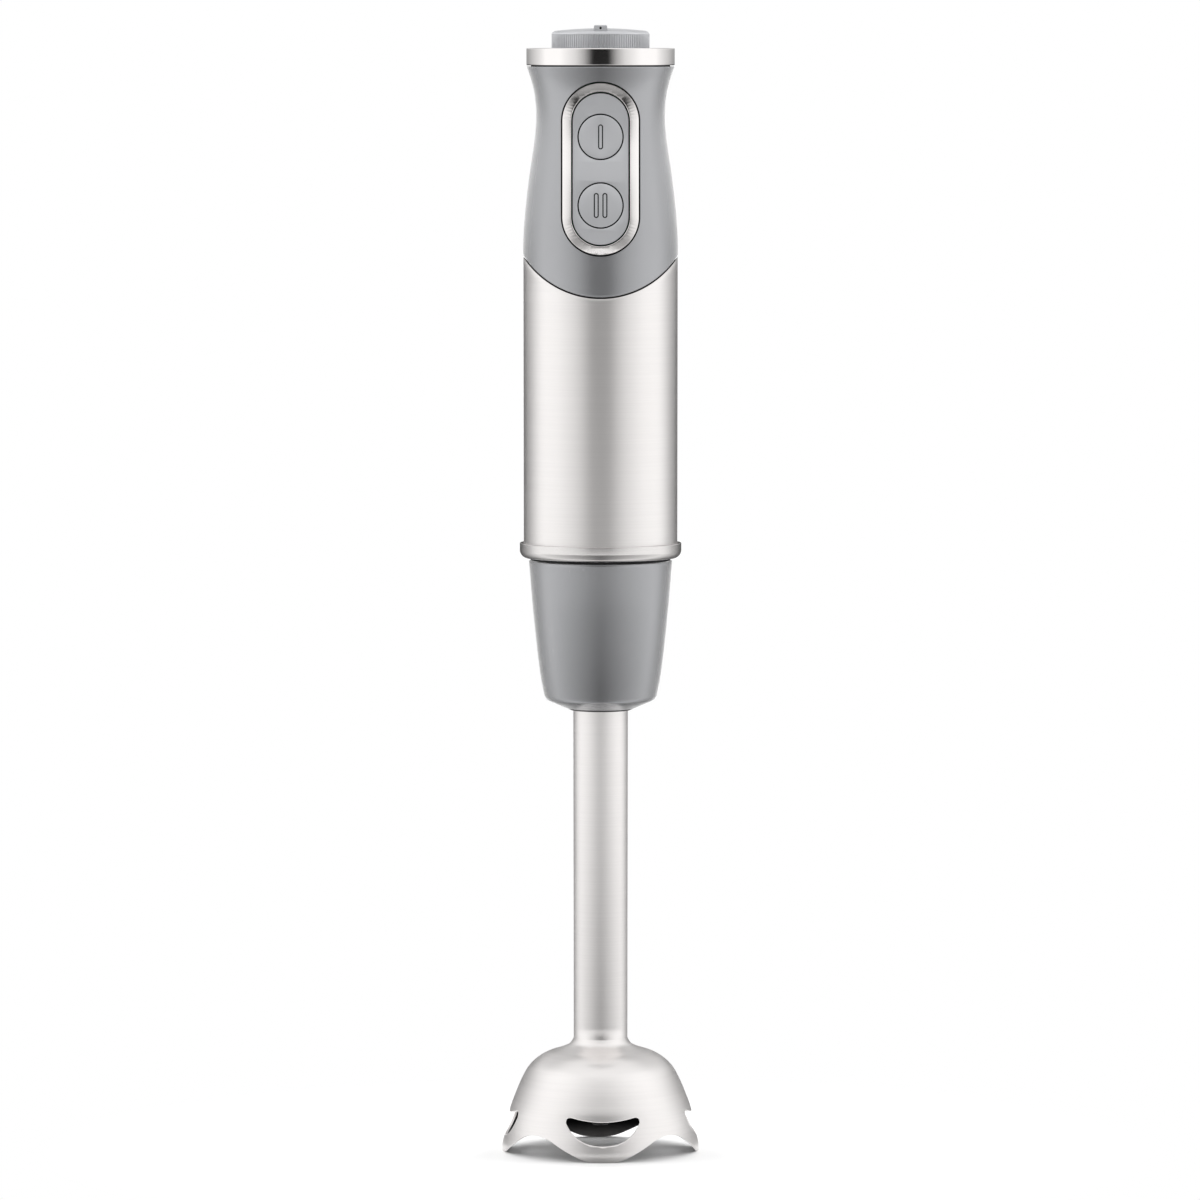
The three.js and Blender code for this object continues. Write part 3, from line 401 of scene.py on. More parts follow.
def combined(base, tools, operation="DIFFERENCE"):
    for tool in tools:
        held = []
        for part in (base, tool):
            bmesh.ops.scale(part, vec=(mm, mm, mm), verts=part.verts[:])
            mesh = bpy.data.meshes.new("work")
            part.to_mesh(mesh)
            part.free()
            held.append(bpy.data.objects.new("work", mesh))
            rootCollection.objects.link(held[-1])
        step = held[0].modifiers.new("combine", "BOOLEAN")
        step.operation = operation
        step.solver = "EXACT"
        step.object = held[1]
        base = bmesh.new()
        base.from_object(held[0], bpy.context.evaluated_depsgraph_get())
        bmesh.ops.scale(base, vec=(1 / mm, 1 / mm, 1 / mm), verts=base.verts[:])
        for work in held:
            mesh = work.data
            bpy.data.objects.remove(work)
            bpy.data.meshes.remove(mesh)
    return base


def turnedBy(bm, angle):
    bmesh.ops.rotate(bm, verts=bm.verts[:], cent=(0, 0, 0), matrix=Matrix.Rotation(radians(angle), 3, "Z"))
    return bm


def placed(bm, name, body, nodes, finish, sharp=32, others=()):
    # others pairs a further finish with a test that says which faces take it
    for face in bm.faces:
        face.smooth = True
        face.material_index = 0
        for index, (other, chosen) in enumerate(others):
            if chosen(face.calc_center_median()):
                face.material_index = index + 1
    bmesh.ops.scale(bm, vec=(mm, mm, mm), verts=bm.verts[:])
    mesh = bpy.data.meshes.new(name)
    bm.to_mesh(mesh)
    bm.free()
    mesh.set_sharp_from_angle(angle=radians(sharp))
    mesh.materials.append(finish)
    for other, chosen in others:
        mesh.materials.append(other)
    piece = bpy.data.objects.new(name, mesh)
    rootCollection.objects.link(piece)
    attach(piece, body)
    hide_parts(*nodes)
    print(name, len(mesh.polygons), "faces")
    return piece


def nodeBox(node):  # lowest and highest corner in millimetres
    low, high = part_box(node)
    return low / mm, high / mm


# grip: heights and radii of the real one, narrow at the waist and flared to the crown
grip = {
    "line": [
        [298, 27], [310, 27.05], [318, 27.1], [326, 26.75], [334, 26], [342, 25.05], [350, 23.85],
        [357, 22.9], [364, 22.48], [370.5, 22.95], [376, 24.15], [381, 25.85],
    ],
    "wall": 2.4,
    "cavityBottom": 334,  # below this the inside is straight: a skirt that slips into the sleeve
    "lipRadius": 24.3,  # the crown ring locates on this lip
    "lipTop": 381.9,
    "skirtOutside": 25.85,
    "skirtInside": 23.6,
    "skirtBottom": 290,
    "seamRadius": 32.6,
    "seamHeight": 333.7,
    "edge": 0.35,
    "edgeRadius": 25.6,  # edges beyond this radius are rounded
    "skin": 0.6,  # corners this near the outer face keep to the waist when they are moved
    "shadeDepth": 0.12,  # deeper than this, faces take the gapShade finish: painted shade in the window, the inlet seat and the skirt
    "window": 13.8,  # radius of the pill-shaped opening round the bezel
    "cutStart": 10,
    "cutReach": 40,
    "inletHeight": 366,
    "inletHole": 4.6,
    "inletSeat": 6.2,
    "inletSeatDepth": 1.2,
}
panel = {"centre": 345.55, "split": 16.5}

gripRow = smoothRow(grip["line"], 88)
gripHeights = [height for height, radius in gripRow]
gripRadii = [radius for height, radius in gripRow]


def waist(height):  # radius of the grip at a height
    return float(np.interp(height, gripHeights, gripRadii))


def seamHeight(across, clearance=0.0):  # height of the U-shaped seam, at a distance from the middle
    reach = grip["seamRadius"] + clearance
    return grip["seamHeight"] - sqrt(max(reach**2 - across**2, 0))


def makeGrip():
    top = gripHeights[-1]
    low = gripHeights[0]
    cavityBottom = grip["cavityBottom"]
    profile = [[radius, height] for height, radius in gripRow]
    profile += [[grip["lipRadius"], top], [grip["lipRadius"], grip["lipTop"]]]
    profile += [[gripRadii[-1] - grip["wall"], grip["lipTop"]]]
    cavity = [[radius - grip["wall"], height] for height, radius in gripRow if height > cavityBottom]
    profile += reversed(cavity)
    profile += [
        [grip["skirtInside"], cavityBottom - 1], [grip["skirtInside"], grip["skirtBottom"]],
        [grip["skirtOutside"], grip["skirtBottom"]], [grip["skirtOutside"], low],
    ]
    bm = turned(profile, 256)

    def outerEdge(edge):
        farthest = max(v.co.xy.length for v in edge.verts)
        return farthest > grip["edgeRadius"] and bottomOf(edge) > low - 1

    rounded(bm, grip["edge"], 3, 40, outerEdge)
    for corner in bm.verts:
        radius = corner.co.xy.length
        if radius < grip["skirtOutside"] - 0.1 or not low - 1 < corner.co.z < grip["seamHeight"]:
            continue
        share = (grip["seamHeight"] - corner.co.z) / (grip["seamHeight"] - low)
        height = corner.co.z + (seamHeight(corner.co.x) - low) * share
        if waist(corner.co.z) - radius < grip["skin"]:
            radius += waist(height) - waist(corner.co.z)
        corner.co.xy = corner.co.xy.normalized() * radius
        corner.co.z = height
    start, reach, inletHeight = grip["cutStart"], grip["cutReach"], grip["inletHeight"]
    window = prism(grip["window"], -start, -reach, panel["centre"], panel["split"], 96)
    hole = prism(grip["inletHole"], reach, start, inletHeight)
    seat = prism(grip["inletSeat"], reach, waist(inletHeight) - grip["inletSeatDepth"], inletHeight)
    bm = combined(bm, [window, hole, seat])
    # painted shade: grip faces deeper than shadeDepth below the outer face turn near black
    inner = (gapShade, lambda spot: waist(spot.z) - spot.xy.length > grip["shadeDepth"])
    return placed(bm, "grip", "motor_unit", ["grip_shell"], gripPlastic, others=[inner])


makeGrip()

# steel sleeve: its top edge follows the seam, and the rise fades out at the height "fade"
sleeve = {
    "radius": 26.9, "topRadius": 27.0, "wall": 0.8, "clearance": 0.45, "fade": 285, "edge": 0.22, "rows": 60,
}


def makeSleeve():
    bottom = nodeBox("motor_sleeve")[0].z
    radius = sleeve["radius"]
    middle = seamHeight(0, sleeve["clearance"])
    rows = np.linspace(bottom, middle, sleeve["rows"])
    slope = (sleeve["topRadius"] - radius) / (grip["seamHeight"] - bottom)
    profile = [[radius + slope * (height - bottom), height] for height in rows]
    inside = radius - sleeve["wall"]
    profile += [[inside, middle], [inside, sleeve["fade"]], [inside, bottom]]
    bm = turned(profile, 256)
    rounded(bm, sleeve["edge"], 2, 40)
    for corner in bm.verts:
        if corner.co.z > sleeve["fade"]:
            share = (corner.co.z - sleeve["fade"]) / (middle - sleeve["fade"])
            corner.co.z += (seamHeight(corner.co.x, sleeve["clearance"]) - middle) * share
    return placed(bm, "sleeve", "motor_unit", ["motor_sleeve"], sleeveSteel)


makeSleeve()

# crown ring and the cover inside it; "hold" keeps the ring's band flat up to its rounded edges
crown = {"inside": 23.2, "edge": 0.3, "gap": 0.3, "hold": 0.5}
cover = {
    "sunk": 0.5, "gap": 0.3, "edge": 0.25, "bore": 4.9, "underside": 383.6, "rimBottom": 382.2,
    "wellRadius": 17.6, "wellFloor": 385.2,
    "skirtInside": 19.4, "skirtOutside": 20.7, "skirtBottom": 378.5,
    "marks": 11, "markRadius": 20.4, "firstMark": 225, "markSweep": 270,  # the last two in degrees
    "markSize": 0.35, "markGrowth": 0.07, "markRise": 0.45,
    "postPlace": 11.5, "postRadius": 3.2, "postBore": 1.8, "postBottom": 376.4, "postTop": 384,
    "cut": [370, 390],
}


def makeCrown():
    low, high = nodeBox("crown_ring")
    inside = crown["inside"]
    rebate = grip["lipRadius"] + crown["gap"]
    step = grip["lipTop"] + crown["gap"]
    bm = turned([
        [high.x, low.z], [high.x, low.z + crown["hold"]], [high.x, high.z - crown["hold"]], [high.x, high.z],
        [inside, high.z], [inside, step], [rebate, step], [rebate, low.z],
    ], 256)
    rounded(bm, crown["edge"], 4)
    return placed(bm, "crownRing", "motor_unit", ["crown_ring"], ringChrome)


def coverPair(inside, outside, bottom, top):  # a turned piece on each side of the spindle
    pair = []
    for side in (-1, 1):
        piece = pipe(inside, outside, bottom, top, 32)
        pair.append(movedBy(piece, side * cover["postPlace"], 0, 0))
    return pair


def makeCover():
    top = nodeBox("crown_ring")[1].z - cover["sunk"]
    rim = crown["inside"] - cover["gap"]
    bore, well, floor = cover["bore"], cover["wellRadius"], cover["wellFloor"]
    under, skirtInside, skirtOutside = cover["underside"], cover["skirtInside"], cover["skirtOutside"]
    bm = turned([
        [bore, under], [skirtInside, under], [skirtInside, cover["skirtBottom"]],
        [skirtOutside, cover["skirtBottom"]], [skirtOutside, cover["rimBottom"]], [rim, cover["rimBottom"]],
        [rim, top], [well, top], [well, floor], [bore, floor],
    ], 160)
    rounded(bm, cover["edge"], 2)
    dimples = []
    for i in range(cover["marks"]):  # speed marks that grow from low to high
        angle = radians(cover["firstMark"] - i * cover["markSweep"] / (cover["marks"] - 1))
        size = cover["markSize"] + cover["markGrowth"] * i
        dimple = bmesh.new()
        bmesh.ops.create_uvsphere(dimple, u_segments=20, v_segments=12, radius=size)
        out, rise = cover["markRadius"], size * cover["markRise"]
        dimples.append(movedBy(dimple, out * cos(angle), out * sin(angle), top + rise))
    bm = combined(bm, dimples)
    posts = coverPair(cover["postBore"], cover["postRadius"], cover["postBottom"], cover["postTop"])
    bm = combined(bm, posts, "UNION")
    bm = combined(bm, coverPair(needle, cover["postBore"], *cover["cut"]))
    return placed(bm, "topCover", "motor_unit", ["top_cover"], gripPlastic)


makeCrown()
makeCover()

# speed dial: a ribbed cap with a pointer bar across its top
dial = {
    "ribs": 120,
    "ribDepth": 0.32,
    "ribTop": 391.9,
    "bend": 2.2,
    "bendHeight": 1.3,
    "shoulder": 393.5,
    "peak": 394.3,
    "capRadii": [14, 11, 8, 5, 2.5],
    "roof": 391.4,  # inside, over the spindle
    "spindle": 3.3,
    "boss": 4.6,
    "ceiling": 391.2,
    "hollow": 14.9,
    "pointerWidth": 4.4,
    "pointerFront": -15.4,
    "pointerBack": 8,
    "pointerBottom": 392.6,
    "pointerFoot": 1.16,  # how much wider the bar is at its foot
    "pointerTail": 0.8,  # and how much narrower at its back
    "pointerRound": 0.35,  # radius of its back corners, as a share of its width
    "pointerEdge": 0.3,
    "pip": 0.42,
    "pipHeight": 394.35,
    "pipBack": -14.9,
    "pipFront": -17,
}


def makeDial():
    low, high = nodeBox("speed_dial")
    radius, bottom = high.x, low.z
    bend, squash = dial["bend"], dial["bendHeight"]
    shoulder = [
        [radius - bend + bend * cos(radians(angle)), dial["shoulder"] - squash + squash * sin(radians(angle))]
        for angle in range(0, 90, 15)
    ]
    reach = radius - bend
    capRise = dial["peak"] - dial["shoulder"]
    cap = [[r, dial["peak"] - capRise * (r / reach) ** 2] for r in dial["capRadii"]]
    hollow = [
        [0, dial["roof"]], [dial["spindle"], dial["roof"]], [dial["spindle"], bottom], [dial["boss"], bottom],
        [dial["boss"], dial["ceiling"]], [dial["hollow"], dial["ceiling"]], [dial["hollow"], bottom],
    ]
    outline = [[radius, bottom], [radius, dial["ribTop"]], *shoulder, *cap, [0, dial["peak"]]]
    bm = turned(outline + hollow, dial["ribs"] * 4)
    for corner in bm.verts:
        if corner.co.xy.length > radius - 0.05 and corner.co.z < dial["ribTop"]:
            place = atan2(corner.co.y, corner.co.x) / (2 * pi) * dial["ribs"] * 4
            if round(place) % 4 in (1, 2):  # two rows of corners in four step back
                corner.co.xy *= (radius - dial["ribDepth"]) / radius
    bar = bmesh.new()
    bmesh.ops.create_cube(bar, size=1)
    length = dial["pointerBack"] - dial["pointerFront"]
    middle = (dial["pointerBack"] + dial["pointerFront"]) / 2
    tall = high.z - dial["pointerBottom"]
    bmesh.ops.scale(bar, vec=(dial["pointerWidth"], length, tall), verts=bar.verts[:])
    movedBy(bar, 0, middle, high.z - tall / 2)
    for corner in bar.verts:
        if corner.co.z < high.z - 0.1:
            corner.co.x *= dial["pointerFoot"]
        elif corner.co.y > 0:
            corner.co.x *= dial["pointerTail"]

    def backCorner(edge):
        a, b = (v.co for v in edge.verts)
        return min(a.y, b.y) > 0 and abs(a.z - b.z) > 0.5

    rounded(bar, dial["pointerWidth"] * dial["pointerRound"], 6, 40, backCorner)
    rounded(bar, dial["pointerEdge"], 3, 40, lambda edge: bottomOf(edge) > high.z - 0.5)
    pip = prism(dial["pip"], dial["pipBack"], dial["pipFront"], dial["pipHeight"], 0, 24)
    bm = combined(combined(bm, [bar], "UNION"), [pip])

    # painted shade: the inside of the pip is near black
    def shadedPip(spot):
        sunk = dial["pointerFront"] + 0.02 < spot.y < dial["pipBack"] + 0.1
        return sunk and hypot(spot.x, spot.z - dial["pipHeight"]) < dial["pip"] + 0.08

    return placed(
        bm, "speedDial", "dial", ["speed_dial"], dialPlastic, others=[(gapShade, shadedPip)],
    )


makeDial()

# button panel: depths count inwards from the waist of the grip
bezel = {
    "outside": 13.35,
    "inside": 10.2,
    "back": 5.0,
    "steps": 128,
    "faceDepth": 1.2,  # what lies deeper isn't sloped
    # painted shade: the outer rounded edge is near black between these two distances in from the outside
    "grooveStart": 0.02,
    "groove": 0.15,
    "wallStart": 2.9,
    "shown": 0.3,
    # across the frame from its outer to its inner edge, and how far it stands proud
    "face": [
        [0, -1.1], [0.06, -0.85], [0.14, -0.68], [0.26, -0.6],
        [2.8, 0.67], [2.92, 0.68], [3.04, 0.62], [3.12, 0.5], [3.15, 0.3],
    ],
    # how much of the slope is left at angles from the side to the end of the pill
    "slope": [[0, 1], [20, 0.62], [45, 0.25], [90, 0.3]],
}
plate = {"radius": 9.75, "sunk": 0.3, "skin": 2.0, "wall": 0.9, "depth": 6.5, "edge": 0.22, "cutReach": 20}
button = {
    "radius": 7.6, "hole": 8.0, "sunk": 0.1, "depth": 5.2, "edge": 0.22, "wall": 1.3, "roof": 2.6,
    "markReach": 3.45, "moatOutside": 0.88, "moatInside": 0.46, "moatDepth": 0.6,
    "flange": 0.7, "flangeFront": 3.2, "flangeBack": 4.4,  # it keeps the button behind its plate
    "stem": 1.9, "stemStart": 2.4,
    "stemEnd": 13.7,  # distance of the stem's flat end from the axis of the grip
    "stemFree": 8,  # deeper than this the stem doesn't follow the waist
}
upperButton, lowerButton = 356.7, 333.0


def depthOf(spot):
    return spot.y + waist(spot.z)


def shadeBelow(part):  # painted shade: walls of narrow gaps take the near-black gapShade finish partway down the rounded edge
    shown = part["sunk"] + part["edge"] * 0.4
    return gapShade, lambda spot: depthOf(spot) > shown


def bentToWaist(bm):  # Y is the depth behind the grip surface until here
    lowest = int(min(v.co.z for v in bm.verts)) + 1
    highest = int(max(v.co.z for v in bm.verts)) + 1
    for height in range(lowest, highest):
        bmesh.ops.bisect_plane(
            bm, geom=wholeGeometry(bm), plane_co=(0, 0, height), plane_no=(0, 0, 1), dist=0.0001,
        )
    for corner in bm.verts:
        corner.co.y -= waist(corner.co.z)
    return bm


def makeBezel():
    bm = bmesh.new()
    steps = bezel["steps"]
    section = [[bezel["outside"] - across, -proud] for across, proud in bezel["face"]]
    section = [[bezel["outside"], bezel["back"]]] + section
    section += [[bezel["inside"], bezel["back"]]]
    corners = [bm.verts.new((reach, depth, 0)) for reach, depth in section]
    sides = [bm.edges.new((a, b)) for a, b in zip(corners, corners[1:] + corners[:1])]
    bmesh.ops.rotate(bm, verts=corners, cent=(0, 0, 0), matrix=Matrix.Rotation(pi / steps, 3, "Y"))
    bmesh.ops.spin(
        bm, geom=corners + sides, axis=(0, 1, 0), cent=(0, 0, 0), angle=2 * pi, steps=steps, use_merge=True,
    )
    angles, shares = zip(*bezel["slope"])
    for corner in bm.verts:
        if corner.co.y < bezel["faceDepth"]:
            angle = abs(atan2(corner.co.z, abs(corner.co.x)) * 180 / pi)
            corner.co.y *= float(np.interp(angle, angles, shares))
        corner.co.z += panel["centre"] + copysign(panel["split"], corner.co.z)
    bentToWaist(tidied(bm))

    def shaded(spot):  # painted shade: a thin dark line on the outer rounded edge, and on the wall round the plate
        beyond = max(abs(spot.z - panel["centre"]) - panel["split"], 0)
        inset = bezel["outside"] - hypot(spot.x, beyond)
        around = inset > bezel["wallStart"] and depthOf(spot) > bezel["shown"]
        return bezel["grooveStart"] < inset < bezel["groove"] or around

    return placed(
        bm, "buttonBezel", "motor_unit", ["button_bezel"], bezelChrome,
        others=[(gapShade, shaded)],
    )


def makePlate():
    bm = prism(plate["radius"], plate["depth"], plate["sunk"], panel["centre"], panel["split"], 96)
    roof = plate["sunk"] + plate["skin"]
    inside = plate["radius"] - plate["wall"]
    pocket = prism(inside, plate["depth"] + 1, roof, panel["centre"], panel["split"], 96)
    reach = plate["cutReach"]
    holes = [prism(button["hole"], reach, -reach, height, 0, 96) for height in (upperButton, lowerButton)]
    bm = combined(bm, [pocket, *holes])
    rounded(bm, plate["edge"], 3, 40, lambda edge: backOf(edge) < plate["sunk"] + 0.1)
    bentToWaist(tidied(bm))
    return placed(
        bm, "buttonPlate", "motor_unit", ["button_plate"], platePlastic,
        others=[shadeBelow(plate)],
    )


def mark(height, across, radius, depth, front):  # a pill that stands for one bar of the marking
    return movedBy(prism(radius, depth, front, height, button["markReach"], 32), across, 0, 0)


def makeButton(name, node, height, marks):
    bm = prism(button["radius"], button["depth"], button["sunk"], height, 0, 96)
    rounded(bm, button["edge"], 3, 50, lambda edge: backOf(edge) < button["sunk"] + 0.4)
    deep = button["moatDepth"]
    moats = [mark(height, across, button["moatOutside"], deep, -1) for across in marks]
    islands = [mark(height, across, button["moatInside"], deep + 0.3, button["sunk"]) for across in marks]
    bm = combined(combined(bm, moats), islands, "UNION")
    radius = button["radius"]
    flange = prism(radius + button["flange"], button["flangeBack"], button["flangeFront"], height, 0, 96)
    pocket = prism(radius - button["wall"], button["depth"] + 1, button["roof"], height, 0, 48)
    stem = prism(button["stem"], waist(height) - button["stemEnd"], button["stemStart"], height, 0, 32)
    bm = combined(combined(bm, [flange], "UNION"), [pocket])
    bentToWaist(bm)
    bentToWaist(stem)
    for corner in stem.verts:
        if corner.co.y > button["stemFree"] - waist(height):
            corner.co.y = -button["stemEnd"]
    bm = combined(bm, [stem], "UNION")
    return placed(bm, name, node, [node], platePlastic, others=[shadeBelow(button)])


makeBezel()
makePlate()
makeButton("onButton", "on_button", upperButton, [0])
makeButton("boostButton", "boost_button", lowerButton, [-1.5, 1.5])

# inlet bushing at the back, turned on its own axis from its root to its nose
inlet = {
    "bore": 2.6, "flange": 5.8, "flangeDepth": 1.6, "neck": [[4.9, 2.1], [4.6, 2.9]], "nose": 4.4,
    "length": 4.4, "tail": 4.2, "root": -4, "edge": 0.3,
}


def makeInlet():
    seat = nodeBox("lead_inlet")[1].y - inlet["length"]
    bm = turned([
        [inlet["flange"], 0], [inlet["flange"], inlet["flangeDepth"]], *inlet["neck"],
        [inlet["nose"], inlet["length"]], [inlet["bore"], inlet["length"]], [inlet["bore"], inlet["root"]],
        [inlet["tail"], inlet["root"]], [inlet["tail"], 0],
    ], 96)
    rounded(bm, inlet["edge"], 3, 40)
    bmesh.ops.rotate(bm, verts=bm.verts[:], cent=(0, 0, 0), matrix=Matrix.Rotation(-pi / 2, 3, "X"))
    movedBy(bm, 0, seat, grip["inletHeight"])
    return placed(bm, "leadInlet", "motor_unit", ["lead_inlet"], blackRubber)


makeInlet()

# collar under the sleeve, and the seal inside it
collar = {
    "rounding": 2.8, "lip": 0.22, "hold": 0.4, "bore": 24.6, "hookRadius": 25.9, "hook": 209.7,
    "seatRadius": 27.3, "seat": 210.9,
}
seal = {"outside": 24.5, "inside": 18.9, "lip": 20.6, "root": 21.4, "thickness": 0.4}


def makeCollar():
    low, high = nodeBox("collar_ring")
    radius, bottom, top = high.x, low.z, high.z
    curve = []
    for angle in range(0, 91, 9):
        across = collar["rounding"] * (1 - cos(radians(angle)))
        up = collar["rounding"] * (1 - sin(radians(angle)))
        curve.append([radius - across, bottom + up])
    bm = turned([
        [radius, top], [radius, top - collar["hold"]], *curve, [collar["bore"], bottom],
        [collar["bore"], collar["hook"]], [collar["hookRadius"], collar["hook"]],
        [collar["hookRadius"], collar["seat"]], [collar["seatRadius"], collar["seat"]],
        [collar["seatRadius"], top],
    ], 256)
    rounded(bm, collar["lip"], 3, 40)
    return placed(bm, "collar", "motor_unit", ["collar_ring"], collarSteel)


def makeSeal():
    low, high = nodeBox("foot_seal")
    outside, inside = seal["outside"], seal["inside"]
    ledge = high.z - seal["thickness"]
    bm = turned([
        [outside, ledge], [outside, high.z], [inside, high.z], [inside, low.z], [seal["lip"], low.z],
        [seal["root"], ledge],
    ])
    return placed(bm, "footSeal", "motor_unit", ["foot_seal"], blackRubber)


makeCollar()
makeSeal()

# adapter at the top of the foot, with bayonet ledges and their stops inside
adapter = {
    "line": [[160.6, 19.7], [166, 20.78], [173, 21.78], [182, 22.8], [194, 23.97], [208.1, 25.09]],
    "wall": 2.3,
    "under": [
        [10.4, 155.6], [11.8, 156.18], [12.2, 156.35], [15.2, 157.62], [18.2, 158.9], [19.05, 159.5],
    ],
    "bottom": 155.6,
    "floor": 161.4,
    "floorRadius": 17.6,
    "hub": 12.2,
    "hubTop": 176,
    "bore": 10.1,
    "edge": 0.25,
    "ledges": 3,
    # inner and outer radius, first and last angle, bottom and top
    "ledge": [19, 22, -25, 63, 197.3, 201],
    "stop": [19, 21.8, 14, 19, 192, 197.5],
    # painted shade: faces inside this radius and below this height are near black
    "shadeRadius": 11.8,
    "shadeTop": 156.2,
}


def makeAdapter():
    row = smoothRow(adapter["line"], 40)
    top = row[-1][0]
    profile = [[adapter["bore"], adapter["bottom"]], *adapter["under"]]
    profile += [[radius, height] for height, radius in row]
    profile += [[radius - adapter["wall"], height] for height, radius in reversed(row[2:])]
    profile += [
        [adapter["floorRadius"], adapter["floor"]], [adapter["hub"], adapter["floor"]],
        [adapter["hub"], adapter["hubTop"]], [adapter["bore"], adapter["hubTop"]],
    ]
    bm = turned(profile, 256)
    rounded(bm, adapter["edge"], 2, 40, lambda edge: bottomOf(edge) > top - 0.1)
    inner = []
    for i in range(adapter["ledges"]):
        turn = i * 360 / adapter["ledges"]
        inner.append(sector(turn, adapter["ledge"], 12))
        inner.append(sector(turn, adapter["stop"], 4))
    bm = combined(bm, inner, "UNION")

    def shadedTubeRim(spot):  # painted shade: a near-black ring where the tube comes out
        return spot.xy.length < adapter["shadeRadius"] and spot.z < adapter["shadeTop"]

    return placed(
        bm, "footAdapter", "foot", ["foot_adapter"], adapterPlastic,
        others=[(gapShade, shadedTubeRim)],
    )


makeAdapter()

# steel foot: bell and tube in one sheet, with four arches and four smile-shaped slots
foot = {
    "line": [
        [0, 34.6], [3, 34.45], [7.5, 33.3], [14.7, 31.9], [20, 30], [25.4, 27.7], [29.6, 25.3], [32.7, 22.1],
        [34.8, 18.4], [36.2, 14.1], [37.7, 10.9], [39.9, 9.43],
    ],
    "tube": [[9.44, 44], [9.46, 80], [9.52, 120], [9.57, 155], [9.57, 174]],
    "sheet": 1.0,
    "seatTurn": 1.5,  # degrees between the buttons and the front tooth
    "liftTop": 24,
    "tip": 0.9,
    "lip": 0.25,
    "chamfer": 0.28,
    "edgeStart": 0.03,
}
# an arch seen from its front: a flat curve in the middle, straight on both sides down to the teeth
arch = {"half": 7.5, "height": 6.6, "rise": 6.6, "fall": 0.5315, "radius": 34}
smile = {
    # three control points for each stretch of the outline, and the number of points on it
    "curves": [
        [(-12.8, 13.3), (-9.6, 5.7), (0, 5.7), 18], [(0, 5.7), (9.6, 5.7), (12.8, 13.3), 18],
        [(12.8, 13.3), (12.9, 15.4), (11, 15.2), 6], [(11, 15.2), (0, 12.4), (-11, 15.2), 24],
        [(-11, 15.2), (-12.9, 15.4), (-12.8, 13.3), 6],
    ],
    "outside": 1.0,  # how far the cutter stands out of the bell, and how deep it goes
    "inside": 6.0,
}

footRow = smoothRow(foot["line"], 110)


def footRadius(height):
    return float(np.interp(height, [h for h, r in footRow], [r for h, r in footRow]))


def bellDepth(spot):  # how far a point lies below the outer face of the bell
    step = 0.1
    slope = (footRadius(spot.z - step) - footRadius(spot.z + step)) / (2 * step)
    return (footRadius(spot.z) - spot.xy.length) / hypot(1, slope)


def archHeight(across):  # edge of the bell between two teeth
    half = arch["half"]
    if across < half:
        u = (across + half) / (2 * half)
        return arch["height"] + arch["rise"] * u * (1 - u)
    return arch["height"] - (across - half) * arch["fall"]


def rimLift(angle):
    away = abs(angle % (pi / 2) - pi / 4)  # from the middle of the nearest arch
    height = archHeight(arch["radius"] * sin(away))
    base = archHeight(arch["radius"] * sin(pi / 4))
    tip = foot["tip"]
    return (height + sqrt(height**2 + tip**2) - base - sqrt(base**2 + tip**2)) / 2


def smileOutline():
    points = []
    for a, b, c, count in smile["curves"]:
        for i in range(count):
            t = i / count
            points.append([a[k] * (1 - t) ** 2 + 2 * b[k] * t * (1 - t) + c[k] * t**2 for k in (0, 1)])
    return points


def smileCutter(turn):  # follows the bell, so that its flared mouth leaves an even chamfer
    outline = smileOutline()
    count = len(outline)
    bm = bmesh.new()
    rings = []
    outside, chamfer = smile["outside"], foot["chamfer"]
    for depth, grow in ((-outside, outside + chamfer), (chamfer, 0.0), (smile["inside"], 0.0)):
        ring = []
        for i, (x, z) in enumerate(outline):
            before, after = outline[i - 1], outline[(i + 1) % count]
            along = Vector((after[0] - before[0], after[1] - before[1])).normalized()
            x += along.y * grow
            z -= along.x * grow
            reach = footRadius(z) - depth
            ring.append(bm.verts.new((x, -sqrt(max(reach**2 - x**2, 1)), z)))
        rings.append([bm.edges.new((a, b)) for a, b in zip(ring, ring[1:] + ring[:1])])
    for first, second in zip(rings, rings[1:]):
        bmesh.ops.bridge_loops(bm, edges=first + second)
    for end in (rings[0], rings[-1]):
        bmesh.ops.edgeloop_fill(bm, edges=end)
    bmesh.ops.triangulate(bm, faces=[face for face in bm.faces if len(face.verts) > 4])
    return turnedBy(tidied(bm), turn)


